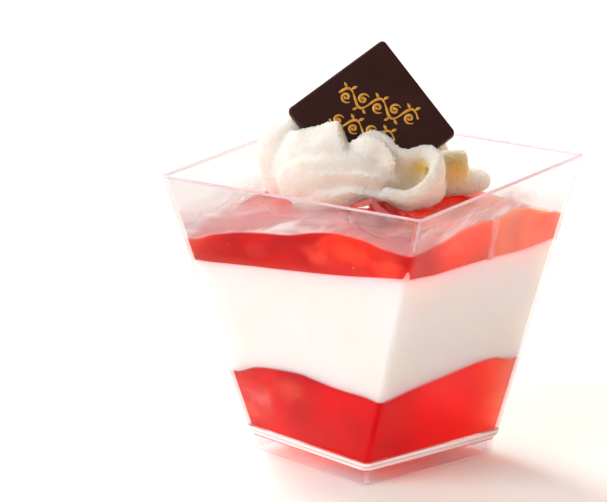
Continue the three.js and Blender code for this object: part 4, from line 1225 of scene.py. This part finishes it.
# %% Bubbles and seeds
BUBBLES = [
    (3.767, 54.45, 0.5), (3.877, 58.1, 0.3), (3.447, 53.73, 0.28), (3.27, 52.5, 0.22), (3.63, 56.0, 0.2),
    (0.139, 57.3, 0.3), (0.761, 58.3, 0.42), (0.70, 57.0, 0.22), (0.42, 55.0, 0.22), (0.973, 14.45, 0.5),
    (0.846, 11.5, 0.3), (0.206, 14.9, 0.3), (0.675, 16.7, 0.22), (0.5, 12.0, 0.2), (3.345, 11.8, 0.3),
    (3.625, 18.5, 0.26), (3.77, 10.9, 0.2), (3.5, 15.0, 0.2), (1.3, 56.0, 0.4), (1.6, 52.0, 0.3), (2.3, 55.0, 0.4),
    (2.7, 52.0, 0.3), (1.25, 17.0, 0.4), (1.7, 10.0, 0.3), (2.2, 16.0, 0.4), (2.75, 9.5, 0.3),
]
SEEDS = [
    (3.102, 15.4, 80), (3.16, 11.2, 60), (3.22, 12.6, 95), (3.19, 15.6, 70), (3.666, 7.64, 85), (3.53, 17.0, 60),
    (3.45, 17.6, 40), (3.36, 12.0, 100), (0.752, 53.4, 70), (0.866, 51.9, 60), (0.80, 52.8, 90), (0.97, 50.9, 75),
    (0.303, 10.45, 80), (3.29, 53.0, 60), (3.2, 54.4, 75), (1.5, 13.0, 80), (1.44, 17.0, 60), (2.55, 12.0, 90),
    (2.66, 15.0, 70), (2.35, 53.0, 80), (1.4, 53.6, 70),
]
BUBBLE_GAP = 0.6
SEED_RADIUS, SEED_STRETCH, SEED_TAPER, SEED_GAP = 0.26, 1.8, 0.35, 0.06


def scatter(name, balls, material):
    """One piece of many small balls on the wall's inner side: sides passed, height, radius, stretch, turn and gap."""
    skins = []
    for passed, z, radius, stretch, turn, gap in balls:
        at, outward, along = wall_spot(passed, z, WALL + gap)
        points, faces = ball(2)
        for k, spot in enumerate(points):
            long, wide = spot.x * stretch, spot.y * (1 - SEED_TAPER * spot.x * (stretch > 1))
            a = long * math.cos(turn) - wide * math.sin(turn)
            b = long * math.sin(turn) + wide * math.cos(turn)
            points[k] = at + radius * (a * along + b * UP + spot.z * outward)
        skins.append((points, faces))
    return make_piece(name, *joined(skins), material, crisp=180)


bubbles = scatter("air_bubbles", [(passed, z, radius, 1.0, 0.0, BUBBLE_GAP * radius) for passed, z, radius in BUBBLES],
                  AIR)
seeds = scatter("loose_seeds", [(passed, z, SEED_RADIUS, SEED_STRETCH, math.radians(turn), SEED_GAP)
                                for passed, z, turn in SEEDS], SEED_SKIN)
report(bubbles)
report(seeds)

# %% [markdown]
# ## Smears on the wall
# Above the jelly the inside of the cup is not clean. When the cream was piped and the cup was carried, jelly and
# cream washed up the wall and left a thin, milky film that runs in slanting wisps. It is a sheet a few hundredths of
# a millimetre off the wall. How much of it there is falls from the jelly's edge upwards and is kept on its points.
# Where it is strongest, on the right face near the front, it turns from greyish pink to white: that white is a
# painted reflection, the glare of the bright room off the jelly's surface behind the wall. Along the back left wall
# a white line is drawn along the jelly's edge.

# %% Material: milky film
def milky_film_and_glare():
    material, tree, place = start_material("milky_film_and_glare")
    ways = [add(tree, "ShaderNodeVectorMath", {1: way}, {0: place}, operation="DOT_PRODUCT").outputs["Value"]
            for way in ((60.0, 60.0, 45.0), (-150.0, -150.0, 420.0))]
    slanted = add(tree, "ShaderNodeCombineXYZ", links={0: ways[0], 1: ways[1]})
    wisps = add(tree, "ShaderNodeTexNoise", {"Scale": 0.5, "Detail": 4.0, "Roughness": 0.55, "Distortion": 0.9},
                {"Vector": slanted.outputs[0]})
    band = add(tree, "ShaderNodeMapRange", {1: 0.45, 2: 0.68}, {0: wisps.outputs["Fac"]}, **SMOOTH)
    film_and_glare_amount = add(tree, "ShaderNodeAttribute", attribute_name="film")
    base = add(tree, "ShaderNodeMath", {1: 0.54}, {0: film_and_glare_amount.outputs["Fac"]}, operation="MULTIPLY")
    wisp = add(tree, "ShaderNodeMath", {1: 0.42}, {0: film_and_glare_amount.outputs["Fac"]}, operation="MULTIPLY")
    share = add(tree, "ShaderNodeMath", links={0: band.outputs[0], 1: wisp.outputs[0], 2: base.outputs[0]},
                operation="MULTIPLY_ADD")
    tint = add(tree, "ShaderNodeMix", {6: hex_colour("#d8abae"), 7: hex_colour("#faf0f0")}, {0: band.outputs[0]},
               data_type="RGBA")
    # Where the amount passes 1.1 the film turns white: on the right face near the front this white is a painted
    # reflection, the glare off the jelly behind the wall.
    thick = add(tree, "ShaderNodeMapRange", {1: 1.1, 2: 1.4}, {0: film_and_glare_amount.outputs["Fac"]})
    tint = add(tree, "ShaderNodeMix", {7: hex_colour("#fffcfc")}, {0: thick.outputs[0], 6: tint.outputs[2]},
               data_type="RGBA")
    milk = add(tree, "ShaderNodeBsdfPrincipled", {"Roughness": 0.35, "IOR": 1.2}, {"Base Color": tint.outputs[2]})
    open_way = add(tree, "ShaderNodeBsdfTransparent")
    mixed = add(tree, "ShaderNodeMixShader", links={0: share.outputs[0], 1: open_way.outputs[0], 2: milk.outputs[0]})
    return finish_material(material, mixed)


FILM_AND_PAINTED_GLARE = milky_film_and_glare()

# %% [markdown]
# The sheet is a grid round the cup, from just under the jelly's edge to a wavy top. Two rows of numbers say how high
# it washed up and how strong it is on each side; the strength also carries the painted glare on the right face.

# %% The film
FILM_LEVELS, FILM_GAP, FILM_FOOT, FILM_LEAST = 26, 0.04, 0.1, 1.0
FILM_TOPS = [(0.0, 68.0), (0.3, 66.5), (0.5, 67.0), (0.62, 67.6), (0.8, 66.0), (1.0, 60.5), (1.5, 61.0), (2.0, 60.5),
             (2.5, 63.0), (3.0, 61.5), (3.25, 66.0), (3.5, 68.0), (3.8, 68.3)]
# On the right face near the front the strength rises above 1.1, where the film is painted white as glare.
FILM_AND_GLARE_STRENGTH = [(0.0, 0.85), (0.3, 1.0), (0.45, 1.1), (0.52, 1.45), (0.6, 1.3), (0.68, 0.6), (0.78, 0.15),
                 (1.0, 0.3), (1.5, 0.4), (2.0, 0.5), (2.5, 0.6), (3.0, 0.9), (3.3, 1.1), (3.6, 1.0), (3.85, 0.8)]
SHORELINE, SHORE_LEVELS, SHORE_STRENGTH = (2.2, 2.97), (1, 2), 2.4


def build_film():
    rings, amount = [], []
    for level in range(FILM_LEVELS + 1):
        fade = 1 - level / FILM_LEVELS
        ring = []
        for column in range(COLUMNS):
            passed = sides_passed(column)
            low = edge_height(UPPER_EDGE, passed) - FILM_FOOT
            high = max(edge_height(FILM_TOPS, passed), low + FILM_LEAST)
            ring.append(at_wall(column, low + (high - low) * level / FILM_LEVELS, WALL + FILM_GAP))
            ashore = level in SHORE_LEVELS and SHORELINE[0] < passed < SHORELINE[1]
            spread = edge_height(FILM_AND_GLARE_STRENGTH, passed) * fade * (2 - fade) if level else 0.0
            amount.append(SHORE_STRENGTH if ashore else spread)
        rings.append(ring)
    made = make_piece("film_on_wall", *loft(rings, closed_ends=False), FILM_AND_PAINTED_GLARE, crisp=180)
    made.data.attributes.new("film", "FLOAT", "POINT").data.foreach_set("value", amount)
    return made


film = build_film()
report(film)

# %% [markdown]
# On the right face a run of cream came down between two spoonfuls of jelly. It is a narrow milky strip, wider at its
# top, that lies against the wall in front of the jelly and joins the set cream below. It is thin enough for more than
# a third of the jelly's red to come through.

# %% The run of cream
RUN = [(62.0, 0.52, 0.3), (61.3, 0.522, 1.2), (60.0, 0.526, 1.35), (58.0, 0.532, 1.25), (56.0, 0.537, 1.15),
       (54.0, 0.543, 1.1), (52.0, 0.549, 1.1), (51.3, 0.551, 1.2), (50.9, 0.552, 1.2)]
RUN_DEEP, RUN_THICK, RUN_SIDES = 0.2, 0.12, 16


def milky_run():
    material, tree, place = start_material("milky_run")
    streak = add(tree, "ShaderNodeMapping", {"Scale": (900.0, 900.0, 90.0)}, {"Vector": place})
    tint = clouded(tree, streak.outputs[0], 1.0, 3.0, ((0.35, "#eea298"), (0.65, "#fad8d2")))
    body = add(tree, "ShaderNodeBsdfPrincipled", {
        "Roughness": 0.5, "IOR": 1.1, "Subsurface Weight": 1.0, "Subsurface Radius": (1.0, 0.6, 0.5),
        "Subsurface Scale": 0.002}, {"Base Color": tint})
    open_way = add(tree, "ShaderNodeBsdfTransparent")
    mixed = add(tree, "ShaderNodeMixShader", {0: 0.62}, {1: open_way.outputs[0], 2: body.outputs[0]})
    return finish_material(material, mixed)


def build_run():
    rings = []
    for z, passed, wide in RUN:
        half = square_at(z, WALL)[0]
        angles = [2 * math.pi * k / RUN_SIDES for k in range(RUN_SIDES)]
        rings.append([wall_spot(passed + wide * math.cos(angle) / (2 * half), z,
                                WALL - RUN_DEEP - RUN_THICK * math.sin(angle))[0] for angle in angles])
    return make_piece("run_of_cream", *loft(rings), milky_run(), crisp=180)


run = build_run()
report(run)

# %% [markdown]
# ## Floor, light and camera
# A white table runs up to the horizon. It is laminate with a satin coat: it takes the cup's soft shadow and a little
# of the jelly's red, but no mirror image.

# %% Floor
FLOOR_REACH = 6.0


def white_table():
    material, tree, place = start_material("white_table")
    tint = clouded(tree, place, 14.0, 4.0, ((0.0, "#f5f4f3"), (1.0, "#f9f8f7")))
    return finish_material(material, add(tree, "ShaderNodeBsdfPrincipled", {"Roughness": 0.6}, {"Base Color": tint}))


mesh = bpy.data.meshes.new("table")
mesh.from_pydata([(x * FLOOR_REACH, y * FLOOR_REACH, 0) for x, y in ((-1, -1), (1, -1), (1, 1), (-1, 1))], [],
                 [(0, 1, 2, 3)])
mesh.materials.append(white_table())
table = bpy.data.objects.new("table", mesh)
bpy.context.scene.collection.objects.link(table)
print("table:", 2 * FLOOR_REACH, "m wide")

# %% [markdown]
# The sky is white, a little warmer and darker at the right, and dimmer overhead, so that the cream keeps some shade.
# Three wide soft suns stand for windows: one at the front left makes the left face bright, a strong one behind shines
# through the jelly and the cream's edge, and a weak, warm one lights the right side.

# %% Lights
def white_room():
    room = bpy.data.worlds.new("white_room")
    room.use_nodes = True
    tree = room.node_tree
    tree.nodes.clear()
    place = add(tree, "ShaderNodeTexCoord")
    side = add(tree, "ShaderNodeVectorMath", {1: heading(160)}, {0: place.outputs["Generated"]},
               operation="DOT_PRODUCT")
    share = add(tree, "ShaderNodeMapRange", {1: -1.0, 2: 1.0}, {0: side.outputs["Value"]})
    tone = add(tree, "ShaderNodeValToRGB", links={"Fac": share.outputs[0]})
    tone.color_ramp.elements[0].position, tone.color_ramp.elements[0].color = 0.15, hex_colour("#d8c0b2")
    tone.color_ramp.elements[1].position, tone.color_ramp.elements[1].color = 0.75, hex_colour("#ffffff")
    height = add(tree, "ShaderNodeSeparateXYZ", links={0: place.outputs["Generated"]})
    ceiling = add(tree, "ShaderNodeMapRange", {1: 0.35, 2: 0.85, 3: 0.73, 4: 0.32}, {0: height.outputs["Z"]},
                  interpolation_type="SMOOTHSTEP")
    light = add(tree, "ShaderNodeBackground", links={"Color": tone.outputs["Color"], "Strength": ceiling.outputs[0]})
    add(tree, "ShaderNodeOutputWorld", links={"Surface": light.outputs[0]})
    bpy.context.scene.world = room


def soft_sun(name, azimuth, elevation, strength, spread, colour):
    lamp = bpy.data.lights.new(name, "SUN")
    lamp.energy, lamp.angle, lamp.color = strength, math.radians(spread), hex_colour(colour)[:3]
    made = bpy.data.objects.new(name, lamp)
    made.rotation_euler = heading(azimuth, elevation).to_track_quat("Z", "Y").to_euler()
    bpy.context.scene.collection.objects.link(made)
    return made


white_room()
soft_sun("window_left", -150, 42, 1.5, 36, "#fffcf8")
soft_sun("window_behind", 120, 44, 2.6, 26, "#fffaf4")
soft_sun("window_right", 32, 24, 0.95, 30, "#ffecd8")

# %% [markdown]
# The camera looks over the front corner from a long way off, through a long lens, so that the cup's edges stay almost
# parallel. Many layers of clear plastic and jelly lie behind each other, so light needs more bounces than usual.

# %% Camera
LENS, SENSOR = 355.85, 36.0
CAMERA_AT = Vector((733.832, -1134.762, 424.704)) * MM
LOOKS_ALONG = Vector((-0.53291436, 0.80255031, -0.26817026))
camera_data = bpy.data.cameras.new("camera")
camera_data.lens, camera_data.sensor_width, camera_data.clip_end = LENS, SENSOR, 20.0
camera = bpy.data.objects.new("camera", camera_data)
camera.location = CAMERA_AT
camera.rotation_euler = LOOKS_ALONG.to_track_quat("-Z", "Y").to_euler()
bpy.context.scene.collection.objects.link(camera)
bpy.context.scene.camera = camera
print("the camera stands", round(CAMERA_AT.length, 2), "m away")
bpy.context.scene.view_settings.view_transform = "Standard"
paths = bpy.context.scene.cycles
paths.max_bounces, paths.glossy_bounces, paths.transmission_bounces, paths.transparent_max_bounces = 24, 20, 20, 16
